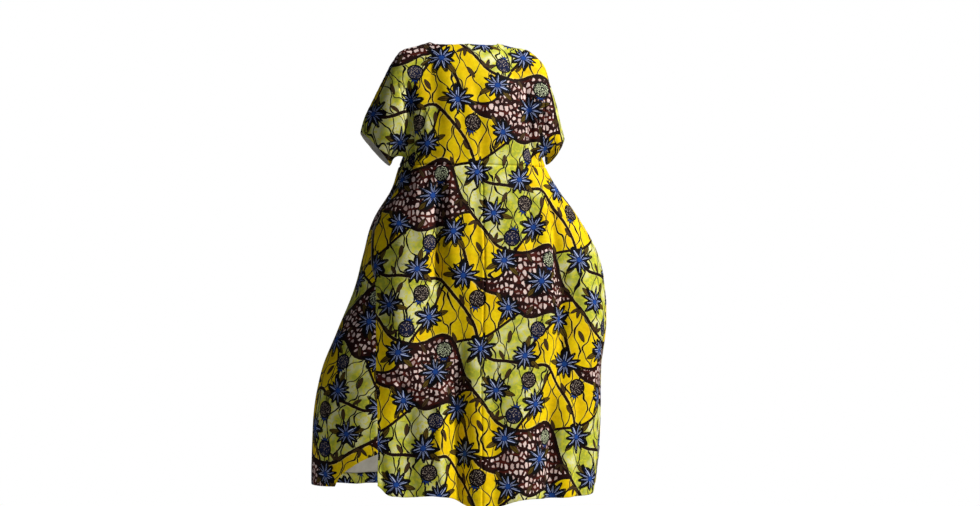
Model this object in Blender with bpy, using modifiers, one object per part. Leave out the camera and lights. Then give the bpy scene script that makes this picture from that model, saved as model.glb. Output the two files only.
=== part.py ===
"""Wax print dress: a long, loose dress with cut-on batwing sleeves, in its worn, hollow form.

Metres, +Z up. The front faces -Y and the wearer's left is +X. The origin is the middle of the
neck opening, level with the neck ends of the shoulder seams, and the dress hangs below it.

The cloth is worked out on grids. A body ring is a superellipse read from SECTIONS, and the
yoke and sleeves are columns of cubic curves from the shoulder line down to the top body ring.
Columns run from the wearer's left to the wearer's right, and rows run downwards.
"""

import math
from collections import namedtuple

import bmesh
import bpy
import numpy as np
from mathutils import Vector

# Driving dimensions
CLOTH_WALL = 0.0015  # outward from the inner face
SEAM_GAP = 0.0003  # between neighbouring pieces
POCKET_WALL = 0.001
HEM_END_GAP = 0.0008  # from a hem's turned-up end to its panel's edge
HEM_DEPTH = 0.030  # turned-up hem
UNDERARM_Z = -0.305
YOKE_SEAM_Z = -0.328
SLIT_TOP_Z = -1.070
RING_ROUNDNESS = 2.3  # exponent of the body rings: 2 is an ellipse, more is squarer

# Neck opening, seen from above: half an ellipse to the back and half of one to the front
NECK_HALF_WIDTH = 0.090
NECK_SIDE_Y = 0.006
NECK_REACH = {"back": 0.040, "front": 0.096}
NECK_CROWN_Z = 0.010  # height at which the shoulder line would cross the opening's middle

# Grid density
SLEEVE_COLUMNS = 6
HALF_COLUMNS = 22  # from a side seam to the centre line
SHOULDER_COLUMNS = 8  # of those, the ones that start on the shoulder seam
YOKE_ROWS = 8
SKIRT_ROWS = 13  # yoke seam to slit top
SLIT_ROWS = 2  # slit top to the hem's fold-in
RING_SAMPLES = 240

# Pocket bags, in the side seams
POCKET_TOP_Z, POCKET_LOW_Z = -0.455, -0.620
POCKET_REACH = 0.15  # from the side seam towards the front
POCKET_DROP = 0.09  # how far the bag's end hangs below its mouth
POCKET_SPREAD = 1.25  # height of the bag against its mouth
POCKET_FULLNESS = 0.030
POCKET_END_FULL = 0.35  # share of the fullness left at the closed end
POCKET_END_WAY = 0.97  # how far the last ring gets towards a point
POCKET_MOUTH_SHARE = 0.94  # share of the gap in the seam that the mouth fills
POCKET_DROP_PACE = 1.4  # the bag has hung down fully at 1 / this of its reach
POCKET_CLEAR = 0.007  # from the front panel, once the bag is past its mouth
POCKET_RINGS = 7
POCKET_SIDES = 16

# Body rings: half widths and depths from the origin's vertical line, and in degrees from +X
# towards the back, where the side seams and the centre back seam lie
Section = namedtuple("Section", "z left right back front seam_left seam_right centre_back")
SECTIONS = (
    Section(-0.305, 0.160, 0.208, 0.112, 0.128, 10, 172, 97.0),
    Section(-0.345, 0.174, 0.228, 0.118, 0.137, 11, 172, 96.0),
    Section(-0.400, 0.194, 0.262, 0.124, 0.147, 12, 172, 95.0),
    Section(-0.475, 0.241, 0.316, 0.130, 0.158, 14, 172, 94.0),
    Section(-0.560, 0.263, 0.364, 0.140, 0.170, 22, 172, 93.5),
    Section(-0.660, 0.290, 0.381, 0.150, 0.180, 35, 172, 93.0),
    Section(-0.760, 0.332, 0.384, 0.158, 0.188, 45, 172, 92.5),
    Section(-0.860, 0.370, 0.372, 0.165, 0.195, 51, 172, 92.0),
    Section(-0.960, 0.390, 0.368, 0.170, 0.200, 54, 172, 92.0),
    Section(-1.060, 0.398, 0.364, 0.176, 0.205, 55, 172, 92.0),
    Section(-1.160, 0.398, 0.356, 0.182, 0.210, 55, 172, 92.0),
    Section(-1.260, 0.396, 0.338, 0.186, 0.214, 55, 172, 92.0),
)

# How far, in degrees, the front panel's side edge stands open from the side seam: the pocket
# mouth first, then the hem slit
Opening = namedtuple("Opening", "z left right")
OPENINGS = (
    Opening(-0.455, 0.0, 0.0),
    Opening(-0.490, 6.0, 3.0),
    Opening(-0.540, 5.0, 4.0),
    Opening(-0.590, 2.5, 2.5),
    Opening(-0.620, 0.0, 0.0),
    Opening(-1.070, 0.0, 0.0),
    Opening(-1.085, 7.0, 0.8),
    Opening(-1.127, 21.0, 2.5),
    Opening(-1.165, 26.0, 4.0),
    Opening(-1.210, 28.0, 5.0),
)

# Hem height, from the left side seam (0) to the right side seam (1)
Hem = namedtuple("Hem", "across z")
BACK_HEM = (
    Hem(0.00, -1.150),
    Hem(0.04, -1.171),
    Hem(0.10, -1.178),
    Hem(0.28, -1.177),
    Hem(0.36, -1.184),
    Hem(0.44, -1.206),
    Hem(0.54, -1.210),
    Hem(0.62, -1.192),
    Hem(0.76, -1.194),
    Hem(0.90, -1.188),
    Hem(1.00, -1.172),
)
FRONT_HEM = (
    Hem(0.00, -1.156),
    Hem(0.10, -1.163),
    Hem(0.30, -1.184),
    Hem(0.50, -1.190),
    Hem(0.75, -1.186),
    Hem(1.00, -1.172),
)

# Overarm and shoulder line of each side, keyed from the cuff (-1) past the shoulder bone (0)
# to the neck (NECK_KEY)
NECK_KEY = SHOULDER_COLUMNS / HALF_COLUMNS
Over = namedtuple("Over", "key x y z")
OVERARM = {
    "left": (
        Over(-1.00, 0.272, -0.010, -0.240),
        Over(-0.82, 0.263, -0.008, -0.206),
        Over(-0.50, 0.239, -0.004, -0.153),
        Over(-0.22, 0.213, 0.000, -0.100),
        Over(0.00, 0.187, 0.002, -0.050),
        Over(0.12, 0.166, 0.003, -0.024),
        Over(0.24, 0.128, 0.005, -0.012),
        Over(NECK_KEY, NECK_HALF_WIDTH, NECK_SIDE_Y, 0.0),
    ),
    "right": (
        Over(-1.00, -0.277, -0.034, -0.247),
        Over(-0.80, -0.262, -0.026, -0.200),
        Over(-0.50, -0.247, -0.015, -0.147),
        Over(-0.24, -0.227, -0.006, -0.094),
        Over(0.00, -0.207, 0.000, -0.044),
        Over(0.12, -0.172, 0.003, -0.017),
        Over(0.24, -0.132, 0.005, -0.010),
        Over(NECK_KEY, -NECK_HALF_WIDTH, NECK_SIDE_Y, 0.0),
    ),
}

# Underarm seam of each sleeve, keyed from the cuff (-1); its other end is on the top body ring
Under = namedtuple("Under", "key x y z")
CUFF_LOW = {
    "left": (Under(-1.0, 0.196, -0.010, -0.327), Under(-0.45, 0.182, 0.006, -0.305)),
    "right": (Under(-1.0, -0.238, -0.048, -0.318), Under(-0.45, -0.227, -0.010, -0.299)),
}

# Handles of the yoke's column curves, in metres: how far the cloth runs out and drops from the
# shoulder line, and how far out and up from the top body ring it arrives
Handle = namedtuple("Handle", "key out drop out_low rise")
HANDLES = (
    Handle(-1.00, 0.078, 0.000, 0.078, 0.000),
    Handle(-0.50, 0.086, 0.004, 0.084, 0.010),
    Handle(-0.20, 0.088, 0.012, 0.076, 0.034),
    Handle(0.00, 0.082, 0.020, 0.060, 0.060),
    Handle(0.15, 0.072, 0.022, 0.036, 0.084),
    Handle(0.35, 0.064, 0.020, 0.010, 0.135),
    Handle(0.60, 0.064, 0.008, 0.000, 0.185),
    Handle(1.00, 0.066, 0.002, 0.000, 0.200),
)

# Folds: distance from the centre line, + towards the wearer's left, at the fold's two ends, the
# heights where it starts and dies out, its half width, and its rise (a trough is negative)
Fold = namedtuple("Fold", "start_across end_across start_z end_z width rise")
BELOW_HEM = -1.6
SHOULDER_FADE = 2.5  # folds reach their full rise 1 / this of the way down the yoke
BACK_FOLDS = (
    Fold(0.185, 0.205, -0.080, -0.400, 0.020, -0.012),
    Fold(0.110, 0.118, -0.040, -0.300, 0.022, -0.004),
    Fold(0.008, 0.000, -0.020, -0.420, 0.018, -0.004),
    Fold(-0.140, -0.152, -0.070, -0.380, 0.022, -0.008),
    Fold(0.115, 0.124, -0.320, -0.720, 0.024, -0.014),
    Fold(0.060, 0.046, -0.700, BELOW_HEM, 0.026, -0.036),
    Fold(0.205, 0.220, -0.520, -0.980, 0.050, 0.014),
    Fold(0.185, 0.200, -0.780, BELOW_HEM, 0.030, -0.012),
    Fold(0.300, 0.340, -0.600, BELOW_HEM, 0.036, 0.012),
    Fold(-0.130, -0.132, -0.350, -0.620, 0.024, -0.008),
    Fold(-0.190, -0.205, -0.400, -0.680, 0.024, -0.009),
    Fold(-0.225, -0.220, -0.500, -0.960, 0.030, -0.018),
    Fold(-0.310, -0.320, -0.480, BELOW_HEM, 0.036, 0.012),
    Fold(-0.090, -0.100, -0.700, BELOW_HEM, 0.040, 0.012),
    Fold(-0.190, -0.205, -0.820, BELOW_HEM, 0.036, -0.020),
)
FRONT_FOLDS = (
    Fold(0.160, 0.175, -0.080, -0.420, 0.024, -0.008),
    Fold(-0.160, -0.175, -0.080, -0.420, 0.024, -0.008),
    Fold(0.060, 0.080, -0.100, -0.460, 0.022, -0.005),
    Fold(-0.050, -0.070, -0.120, -0.480, 0.022, -0.005),
    Fold(0.120, 0.150, -0.330, BELOW_HEM, 0.034, -0.022),
    Fold(0.010, 0.010, -0.420, BELOW_HEM, 0.036, -0.026),
    Fold(-0.130, -0.150, -0.360, BELOW_HEM, 0.034, -0.022),
    Fold(0.270, 0.300, -0.680, BELOW_HEM, 0.036, -0.018),
    Fold(-0.260, -0.290, -0.680, BELOW_HEM, 0.036, -0.018),
    Fold(0.390, 0.420, -0.740, BELOW_HEM, 0.034, -0.012),
    Fold(-0.370, -0.390, -0.740, BELOW_HEM, 0.034, -0.010),
)

COLLECTION_NAME = "wax_print_dress"
PRINT_COLOUR = (0.62, 0.55, 0.03, 1.0)
INSIDE_COLOUR = (0.62, 0.62, 0.60, 1.0)


def read(rows, column, at):
    """A table's column at the key `at`, on the smooth curve through its rows."""
    key = np.array([row[0] for row in rows], float)
    value = np.array([getattr(row, column) for row in rows], float)
    if key[0] > key[-1]:
        key, value = key[::-1], value[::-1]
    slope = np.gradient(value, key)
    at = np.clip(at, key[0], key[-1])
    k = np.clip(np.searchsorted(key, at) - 1, 0, len(key) - 2)
    step = key[k + 1] - key[k]
    t = (at - key[k]) / step
    rise = value[k + 1] - value[k]
    hermite = (3 * t**2 - 2 * t**3) * rise
    return value[k] + hermite + step * ((t**3 - 2 * t**2 + t) * slope[k] + (t**3 - t**2) * slope[k + 1])


def ease(t):
    """0 to 1 with flat ends."""
    t = np.clip(t, 0.0, 1.0)
    return t * t * (3 - 2 * t)


def ring_point(z, degrees):
    """Points of the body ring at height z, at angles from +X towards the back."""
    angle = np.radians(degrees)
    c, s = np.cos(angle), np.sin(angle)
    wide = np.where(c > 0, read(SECTIONS, "left", z), read(SECTIONS, "right", z))
    deep = np.where(s > 0, read(SECTIONS, "back", z), read(SECTIONS, "front", z))
    power = 2 / RING_ROUNDNESS
    x = wide * np.sign(c) * np.abs(c) ** power
    y = deep * np.sign(s) * np.abs(s) ** power
    return np.stack([x, y, np.broadcast_to(z, x.shape)], axis=-1)


def ring_stretch(z, start, end, fractions):
    """Points at even fractions of the way round the ring between two angles."""
    degrees = np.linspace(start, end, RING_SAMPLES)
    points = ring_point(z, degrees)
    run = np.append(0, np.cumsum(np.linalg.norm(np.diff(points, axis=0), axis=1)))
    return ring_point(z, np.interp(np.asarray(fractions) * run[-1], run, degrees))


def body_row(side, z):
    """One row of the body, from the left seam to the right seam. The centre is a column."""
    seam_left, seam_right = read(SECTIONS, "seam_left", z), read(SECTIONS, "seam_right", z)
    half = np.linspace(0, 1, HALF_COLUMNS + 1)
    if side == "back":
        ends = (seam_left, read(SECTIONS, "centre_back", z), seam_right)
    else:
        keys = [row.z for row in OPENINGS][::-1]
        open_left = np.interp(z, keys, [row.left for row in OPENINGS][::-1])
        open_right = np.interp(z, keys, [row.right for row in OPENINGS][::-1])
        ends = (seam_left - open_left, -90.0, seam_right - 360 + open_right)
    left = ring_stretch(z, ends[0], ends[1], half)
    right = ring_stretch(z, ends[1], ends[2], half)
    return np.concatenate([left, right[1:]])


def body_grid(side):
    """Rows from the underarm ring to the hem. Rows are level as far as the slit's top."""
    levels = np.concatenate(
        [[UNDERARM_Z], np.linspace(YOKE_SEAM_Z, SLIT_TOP_Z, SKIRT_ROWS + 1)]
    )
    across = np.linspace(0, 1, 2 * HALF_COLUMNS + 1)
    hem = read(BACK_HEM if side == "back" else FRONT_HEM, "z", across)
    fold_in = hem + HEM_DEPTH
    rows = [body_row(side, z) for z in levels]
    for k in range(1, SLIT_ROWS + 1):
        rows.append(sloping_row(side, SLIT_TOP_Z + (fold_in - SLIT_TOP_Z) * k / SLIT_ROWS))
    rows.append(sloping_row(side, hem))
    return np.array(rows)


def sloping_row(side, heights):
    """A row whose columns each lie at a height of their own."""
    return np.array([body_row(side, z)[k] for k, z in enumerate(heights)])


def ridge_line(arm, keys):
    """Overarm and shoulder line, carried on across the neck opening as a low crown."""
    over = np.stack([read(OVERARM[arm], name, keys) for name in ("x", "y", "z")], axis=-1)
    turn = np.clip((keys - NECK_KEY) / (1 - NECK_KEY), 0, 1) ** 1.5
    x = over[-1, 0] * (1 - turn)
    crown = np.stack([x, np.full_like(x, NECK_SIDE_Y), NECK_CROWN_Z * ease(turn)], axis=-1)
    return np.where((keys > NECK_KEY)[:, None], crown, over)


def cubic_curves(ends, t):
    """Points at t (rows by columns) of the cubic curves with the given four control points."""
    top, top_pull, low_pull, low = ends
    t = t[..., None]
    upper = top * (1 - t) ** 3 + 3 * top_pull * t * (1 - t) ** 2
    return upper + 3 * low_pull * t**2 * (1 - t) + low * t**3


def neck_cut(side, keys, ends):
    """Where along each column curve the neck opening cuts it, 0 where it misses it."""
    samples = np.linspace(0, 0.8, RING_SAMPLES)
    curves = cubic_curves(ends, np.repeat(samples[:, None], len(keys), axis=1))
    reach = np.abs(curves[..., 1] - NECK_SIDE_Y) / NECK_REACH[side]
    outside = (curves[..., 0] / NECK_HALF_WIDTH) ** 2 + reach**2 >= 1
    cut = samples[outside.argmax(axis=0)]
    return np.where(keys > NECK_KEY, cut, 0.0)


def low_line(arm, keys, ring):
    """Low end of each yoke column: the underarm seam, then the top body ring."""
    rows = (*CUFF_LOW[arm], Under(0.0, *ring[0]))
    sleeve = np.stack([read(rows, name, keys) for name in ("x", "y", "z")], axis=-1)
    low = sleeve.copy()
    low[keys >= 0] = ring
    return low


def yoke_half(side, arm, ring):
    """Yoke and sleeve grid of one arm, from its cuff to the centre column."""
    keys = np.concatenate(
        [np.linspace(-1, 0, SLEEVE_COLUMNS + 1)[:-1], np.linspace(0, 1, HALF_COLUMNS + 1)]
    )
    top, low = ridge_line(arm, keys), low_line(arm, keys, ring)
    way = 1 if side == "back" else -1
    handle = {name: read(HANDLES, name, keys) for name in Handle._fields[1:]}
    still = np.zeros_like(keys)
    top_pull = top + np.stack([still, way * handle["out"], -handle["drop"]], axis=-1)
    low_pull = low + np.stack([still, way * handle["out_low"], handle["rise"]], axis=-1)
    ends = (top, top_pull, low_pull, low)
    cut = neck_cut(side, keys, ends)
    return cubic_curves(ends, cut + (1 - cut) * np.linspace(0, 1, YOKE_ROWS + 1)[:, None])


def yoke_grid(side, ring):
    """Cuff to cuff, above the underarm ring."""
    left = yoke_half(side, "left", ring[: HALF_COLUMNS + 1])
    right = yoke_half(side, "right", ring[HALF_COLUMNS:][::-1])
    return np.concatenate([left, right[:, ::-1][:, 1:]], axis=1)


def across_cloth(grid):
    """Distance of each point from the centre column along its row, + to the wearer's left."""
    steps = np.linalg.norm(np.diff(grid, axis=1), axis=2)
    run = np.concatenate([np.zeros((len(grid), 1)), np.cumsum(steps, axis=1)], axis=1)
    centre = grid.shape[1] // 2
    return run[:, centre : centre + 1] - run


def grid_normals(grid, side):
    """Unit normals of a grid, pointing out of the dress."""
    down, along = np.gradient(grid, axis=0), np.gradient(grid, axis=1)
    way = 1 if side == "back" else -1
    normal = np.cross(down, along) * way
    return normal / np.linalg.norm(normal, axis=2, keepdims=True)


def fold_rise(grid, folds):
    """How far the folds lift each point. A fold's profile is a trough with a low ridge beside
    it on either hand, and it grows over the first third of its height and dies in the last."""
    across, z = across_cloth(grid), grid[..., 2]
    total = np.zeros_like(z)
    for fold in folds:
        way = (z - fold.start_z) / (fold.end_z - fold.start_z)
        middle = fold.start_across + (fold.end_across - fold.start_across) * way
        r = (across - middle) / fold.width
        profile = (1 - 0.6 * r**2) * np.exp(-(r**2) / 1.7)
        total += fold.rise * profile * ease(way * 3) * ease((1 - way) * 3)
    return total


def folded(grid, side, folds, from_top=None):
    """The grid with its folds. A yoke's folds die out towards its shoulder seam."""
    rise = fold_rise(grid, folds)
    if from_top is not None:
        rise = rise * ease(np.linspace(0, from_top, len(grid)))[:, None]
    return grid + grid_normals(grid, side) * rise[..., None]


def dress_side(side, folds):
    """Yoke grid and body grid of one side. They share the underarm row."""
    body = body_grid(side)
    yoke = yoke_grid(side, body[0])
    yoke, body = folded(yoke, side, folds, SHOULDER_FADE), folded(body, side, folds)
    yoke[-1, SLEEVE_COLUMNS : SLEEVE_COLUMNS + 2 * HALF_COLUMNS + 1] = body[0]
    return yoke, body


def join_sides(back, front):
    """Gives both sides the same points where they are sewn: overarm and shoulder, underarm,
    and the side seams between the pocket mouth and the ends of the seam."""
    (back_yoke, back_body), (front_yoke, front_body) = back, front
    shoulder = SLEEVE_COLUMNS + SHOULDER_COLUMNS + 1
    for columns in (slice(0, shoulder), slice(-shoulder, None)):
        share(back_yoke[0, columns], front_yoke[0, columns])
    for columns in (slice(0, SLEEVE_COLUMNS + 1), slice(-SLEEVE_COLUMNS - 1, None)):
        share(back_yoke[-1, columns], front_yoke[-1, columns])
    for column in (0, -1):
        z = back_body[:, column, 2]
        keys = [row.z for row in OPENINGS][::-1]
        opened = np.interp(z, keys, [row.left for row in OPENINGS][::-1])
        sewn = (opened == 0) & (z > SLIT_TOP_Z - SEAM_GAP)
        mean = (back_body[sewn, column] + front_body[sewn, column]) / 2
        back_body[sewn, column] = mean
        front_body[sewn, column] = mean
        body_end = SLEEVE_COLUMNS if column == 0 else -SLEEVE_COLUMNS - 1
        back_yoke[-1, body_end] = mean[0]
        front_yoke[-1, body_end] = mean[0]


def share(one, other):
    mean = (one + other) / 2
    one[:] = mean
    other[:] = mean


def add_patch(bm, grid, side):
    """Adds a grid's quads to bm, facing out of the dress."""
    verts = [[bm.verts.new(point) for point in row] for row in grid]
    for i in range(len(grid) - 1):
        for j in range(grid.shape[1] - 1):
            quad = [verts[i][j], verts[i + 1][j], verts[i + 1][j + 1], verts[i][j + 1]]
            bm.faces.new(quad if side == "back" else quad[::-1])


def pull_in_edges(bm, distance):
    """Moves every open edge back into its own cloth, along the threads that meet it. A corner
    has no thread inside the cloth, so it moves back along both of its edges."""
    moves = []
    for vert in (v for v in bm.verts if v.is_boundary):
        inside = [edge for edge in vert.link_edges if not edge.is_boundary]
        threads = inside or list(vert.link_edges)
        pull = sum(((e.other_vert(vert).co - vert.co).normalized() for e in threads), Vector())
        moves.append((vert, pull.normalized() * distance if inside else pull * distance))
    for vert, move in moves:
        vert.co += move


def add_piece(name, patches, side, material, collection, wall, outward=True, pull=SEAM_GAP / 2):
    """A cloth piece: its patches joined, its edges pulled in by half a seam gap, and a wall."""
    bm = bmesh.new()
    for patch in patches:
        add_patch(bm, patch, side)
    bmesh.ops.remove_doubles(bm, verts=bm.verts, dist=0.00001)
    pull_in_edges(bm, pull)
    mesh = bpy.data.meshes.new(name)
    bm.to_mesh(mesh)
    bm.free()
    mesh.shade_smooth()
    mesh.materials.append(material)
    piece = bpy.data.objects.new(name, mesh)
    collection.objects.link(piece)
    solid = piece.modifiers.new("wall", "SOLIDIFY")
    solid.thickness = wall
    solid.offset = 1.0 if outward else -1.0
    return piece


def moved_in(grid, side, distance):
    return grid - grid_normals(grid, side) * distance


def on_grid(grid, row, column):
    """Points between a grid's rows and columns."""
    i = np.clip(np.floor(row).astype(int), 0, grid.shape[0] - 2)
    j = np.clip(np.floor(column).astype(int), 0, grid.shape[1] - 2)
    a, b = (row - i)[..., None], (column - j)[..., None]
    upper = grid[i, j] * (1 - b) + grid[i, j + 1] * b
    lower = grid[i + 1, j] * (1 - b) + grid[i + 1, j + 1] * b
    return upper * (1 - a) + lower * a


def pocket_rings(front_body, back_body, hand):
    """Rings of a pocket bag, from its mouth in the side seam to its closed end. One layer
    follows the front panel's inner face, and the other starts at the back panel's edge."""
    edge = 0 if hand == "left" else -1
    edge_column = 0 if hand == "left" else back_body.shape[1] - 1
    mouth_clear = SEAM_GAP + POCKET_WALL / 2
    back_in = moved_in(back_body, "back", mouth_clear)
    normals = grid_normals(front_body, "front")
    levels = front_body[:, edge, 2][::-1]
    level_rows = np.arange(len(levels))[::-1]
    steps = np.linalg.norm(np.diff(front_body[4], axis=0), axis=1)
    column_step = steps[:4].mean() if hand == "left" else steps[-4:].mean()
    turn = np.linspace(0, 2 * math.pi, POCKET_SIDES, endpoint=False)
    middle = (POCKET_TOP_Z + POCKET_LOW_Z) / 2
    half = (POCKET_TOP_Z - POCKET_LOW_Z) / 2
    rings = []
    for way in np.linspace(0, 1, POCKET_RINGS + 1):
        shrink = math.sqrt(max(1 - (way * POCKET_END_WAY) ** 4, 0))
        spread = 1 + (POCKET_SPREAD - 1) * ease(way * 2)
        height = half * POCKET_MOUTH_SHARE * spread * shrink
        drop = POCKET_DROP * ease(way * POCKET_DROP_PACE)
        z = middle - drop + height * np.cos(turn)
        share_of_back = (1 - np.sin(turn)) / 2
        row = np.interp(z, levels, level_rows)
        reach = np.full_like(row, way * POCKET_REACH / column_step)
        column = reach if hand == "left" else front_body.shape[1] - 1 - reach
        inward = on_grid(normals, row, column)
        clear = mouth_clear + (POCKET_CLEAR - mouth_clear) * ease(way * 4)
        near = on_grid(front_body, row, column) - inward * clear
        full = POCKET_FULLNESS * (POCKET_END_FULL + (1 - POCKET_END_FULL) * shrink)
        far = near - inward * full
        mouth = on_grid(back_in, row, np.full_like(row, edge_column))
        far = mouth + (far - mouth) * ease(way * 6)
        rings.append(near + (far - near) * share_of_back[:, None])
    return np.array(rings)


def add_pocket(name, rings, material, collection):
    """A pocket bag: rings joined into an open-mouthed pouch, closed at the far end."""
    bm = bmesh.new()
    loops = [[bm.verts.new(point) for point in ring] for ring in rings]
    for ring, following in zip(loops, loops[1:]):
        for k in range(len(ring)):
            after = (k + 1) % len(ring)
            bm.faces.new([ring[k], ring[after], following[after], following[k]])
    end = loops[-1]
    half = len(end) // 2
    for k in range(half):
        low, high = -k % len(end), -(k + 1) % len(end)
        corners = [end[k], end[k + 1], end[high], end[low]]
        bm.faces.new(list(dict.fromkeys(corners)))
    bmesh.ops.recalc_face_normals(bm, faces=bm.faces)
    mesh = bpy.data.meshes.new(name)
    bm.to_mesh(mesh)
    bm.free()
    mesh.shade_smooth()
    mesh.materials.append(material)
    piece = bpy.data.objects.new(name, mesh)
    collection.objects.link(piece)
    solid = piece.modifiers.new("wall", "SOLIDIFY")
    solid.thickness = POCKET_WALL
    solid.offset = -1.0
    return piece


def cloth_material(name, colour, roughness):
    material = bpy.data.materials.new(name)
    material.use_nodes = True
    shader = material.node_tree.nodes["Principled BSDF"]
    shader.inputs["Base Color"].default_value = colour
    shader.inputs["Roughness"].default_value = roughness
    shader.inputs["Metallic"].default_value = 0.0
    return material


def build():
    """All the pieces of the dress, in one collection."""
    for leftover in list(bpy.data.objects):
        bpy.data.objects.remove(leftover, do_unlink=True)
    collection = bpy.data.collections.new(COLLECTION_NAME)
    bpy.context.scene.collection.children.link(collection)
    back, front = dress_side("back", BACK_FOLDS), dress_side("front", FRONT_FOLDS)
    join_sides(back, front)
    (back_yoke, back_body), (front_yoke, front_body) = back, front
    printed = {
        name: cloth_material(f"{name}_print_cotton", PRINT_COLOUR, 0.75)
        for name in ("front_yoke", "front_skirt", "back_yoke", "back_left", "back_right")
    }
    pieces = (
        ("front_yoke", (front_yoke, front_body[:2]), "front"),
        ("front_skirt", (front_body[1:],), "front"),
        ("back_yoke", (back_yoke, back_body[:2]), "back"),
        ("back_left", (back_body[1:, : HALF_COLUMNS + 1],), "back"),
        ("back_right", (back_body[1:, HALF_COLUMNS:],), "back"),
    )
    for name, patches, side in pieces:
        add_piece(name, patches, side, printed[name], collection, CLOTH_WALL)
    hems = (
        ("front_hem", front_body, "front"),
        ("back_hem_left", back_body[:, : HALF_COLUMNS + 1], "back"),
        ("back_hem_right", back_body[:, HALF_COLUMNS:], "back"),
    )
    for name, grid, side in hems:
        strip = moved_in(grid, side, SEAM_GAP)[-2:]
        inside = cloth_material(f"{name}_print_cotton", PRINT_COLOUR, 0.75)
        add_piece(
            name, (strip,), side, inside, collection, POCKET_WALL, outward=False, pull=HEM_END_GAP
        )
    for hand in ("left", "right"):
        bag = cloth_material(f"pocket_{hand}_cotton", INSIDE_COLOUR, 0.8)
        add_pocket(f"pocket_{hand}", pocket_rings(front_body, back_body, hand), bag, collection)


build()
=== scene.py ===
"""Wax print dress: the finished look of a long, loose dress with cut-on batwing sleeves.

Metres, +Z up, the front faces -Y and the wearer's left is +X. The cloth is worked out as
grids of two parameters on the same sections, overarm lines and folds as the solids, drawn
finer, with small creases added. Flat cloth coordinates come from laying each side of the
dress out flat, and the print is drawn in them.
"""

import logging
import math
from dataclasses import dataclass, field
from enum import Enum
from typing import Any, Callable, NamedTuple, Sequence

import bpy
import numpy as np
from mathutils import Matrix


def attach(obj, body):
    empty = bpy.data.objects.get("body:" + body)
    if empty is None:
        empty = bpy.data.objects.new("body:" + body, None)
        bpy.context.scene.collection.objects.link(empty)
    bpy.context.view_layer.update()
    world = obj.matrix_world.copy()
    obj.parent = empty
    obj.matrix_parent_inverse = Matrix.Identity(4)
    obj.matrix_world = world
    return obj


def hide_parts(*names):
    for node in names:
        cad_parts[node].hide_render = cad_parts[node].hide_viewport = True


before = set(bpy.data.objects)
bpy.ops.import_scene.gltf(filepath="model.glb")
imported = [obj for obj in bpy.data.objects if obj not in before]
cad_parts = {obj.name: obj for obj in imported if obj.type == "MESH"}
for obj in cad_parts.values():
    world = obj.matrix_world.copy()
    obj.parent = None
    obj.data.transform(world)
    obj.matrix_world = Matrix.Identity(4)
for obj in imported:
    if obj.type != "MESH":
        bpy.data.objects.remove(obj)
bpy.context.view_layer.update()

log = logging.getLogger("wax_print_dress")

MM = 0.001
UNDERARM_Z = -0.305
YOKE_SEAM_Z = -0.328
SLIT_TOP_Z = -1.070
HEM_DEPTH = 0.030
RING_ROUNDNESS = 2.3  # exponent of the body rings: 2 is an ellipse, more is squarer
NECK_HALF_WIDTH = 0.090
NECK_SIDE_Y = 0.006
NECK_CROWN_Z = 0.010
SHOULDER_FADE = 2.5  # folds reach their full rise 1 / this of the way down the yoke
BELOW_HEM = -1.6
FOLDED_THICK = 0.0005  # m of cloth in hems and pockets, drawn a little thinner than the panels
FOLD_DIP = 0.6  # how far the cloth dips beside a fold's crest
FOLD_SPREAD = 1.7  # how wide a fold's flanks run out
FOLD_ENDS = 3.0  # a fold grows and dies within 1 / this of its length
UNEVEN = 0.0011  # m of the cloth's own slow waves
UNEVEN_TOP = -0.02
UNEVEN_GROWTH = 0.25
SEWN_EASE = 0.014  # m over which cloth eases to a seam
LEVEL_RINGS = (-1.27, -0.30, 98)  # lowest ring, highest ring and how many
ARC_SAMPLES = 361
HEM_CROWD = 1.3  # a hem's rows stand closer towards its fold
CROWN_EASE = 1.5
NECK_TRIES = (0.0, 0.8, 401)  # where along a yoke column the neckline is looked for
FOLDING_BLEND = 8  # yoke rows over which normals turn to the body's before folding
SEWN_BLEND = 4  # and after it


class Side(Enum):
    """The two sides of the dress, by the way they face along Y."""

    BACK = 1
    FRONT = -1


class Section(NamedTuple):
    """Body ring: half widths and depths, and the seams' angles from +X towards the back."""

    z: float
    left: float
    right: float
    back: float
    front: float
    seam_left: float
    seam_right: float
    centre_back: float


SECTIONS = (
    Section(-0.305, 0.16, 0.208, 0.112, 0.128, 10, 172, 97.0),
    Section(-0.345, 0.174, 0.228, 0.118, 0.137, 11, 172, 96.0),
    Section(-0.4, 0.194, 0.262, 0.124, 0.147, 12, 172, 95.0),
    Section(-0.475, 0.241, 0.316, 0.13, 0.158, 14, 172, 94.0),
    Section(-0.56, 0.263, 0.364, 0.14, 0.17, 22, 172, 93.5),
    Section(-0.66, 0.29, 0.381, 0.15, 0.18, 35, 172, 93.0),
    Section(-0.76, 0.332, 0.384, 0.158, 0.188, 45, 172, 92.5),
    Section(-0.86, 0.37, 0.372, 0.165, 0.195, 51, 172, 92.0),
    Section(-0.96, 0.39, 0.368, 0.17, 0.2, 54, 172, 92.0),
    Section(-1.06, 0.398, 0.364, 0.176, 0.205, 55, 172, 92.0),
    Section(-1.16, 0.398, 0.356, 0.182, 0.21, 55, 172, 92.0),
    Section(-1.26, 0.396, 0.338, 0.186, 0.214, 55, 172, 92.0),
)


class Gap(NamedTuple):
    """How far the front's side edge stands open, in degrees: pocket mouth, then hem slit."""

    z: float
    left: float
    right: float


GAPS = (
    Gap(-0.455, 0.0, 0.0), Gap(-0.49, 6.0, 3.0), Gap(-0.54, 5.0, 4.0), Gap(-0.59, 2.5, 2.5),
    Gap(-0.62, 0.0, 0.0), Gap(-1.07, 0.0, 0.0), Gap(-1.085, 7.0, 0.8), Gap(-1.127, 21.0, 2.5),
    Gap(-1.165, 26.0, 4.0), Gap(-1.21, 28.0, 5.0),
)


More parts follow.
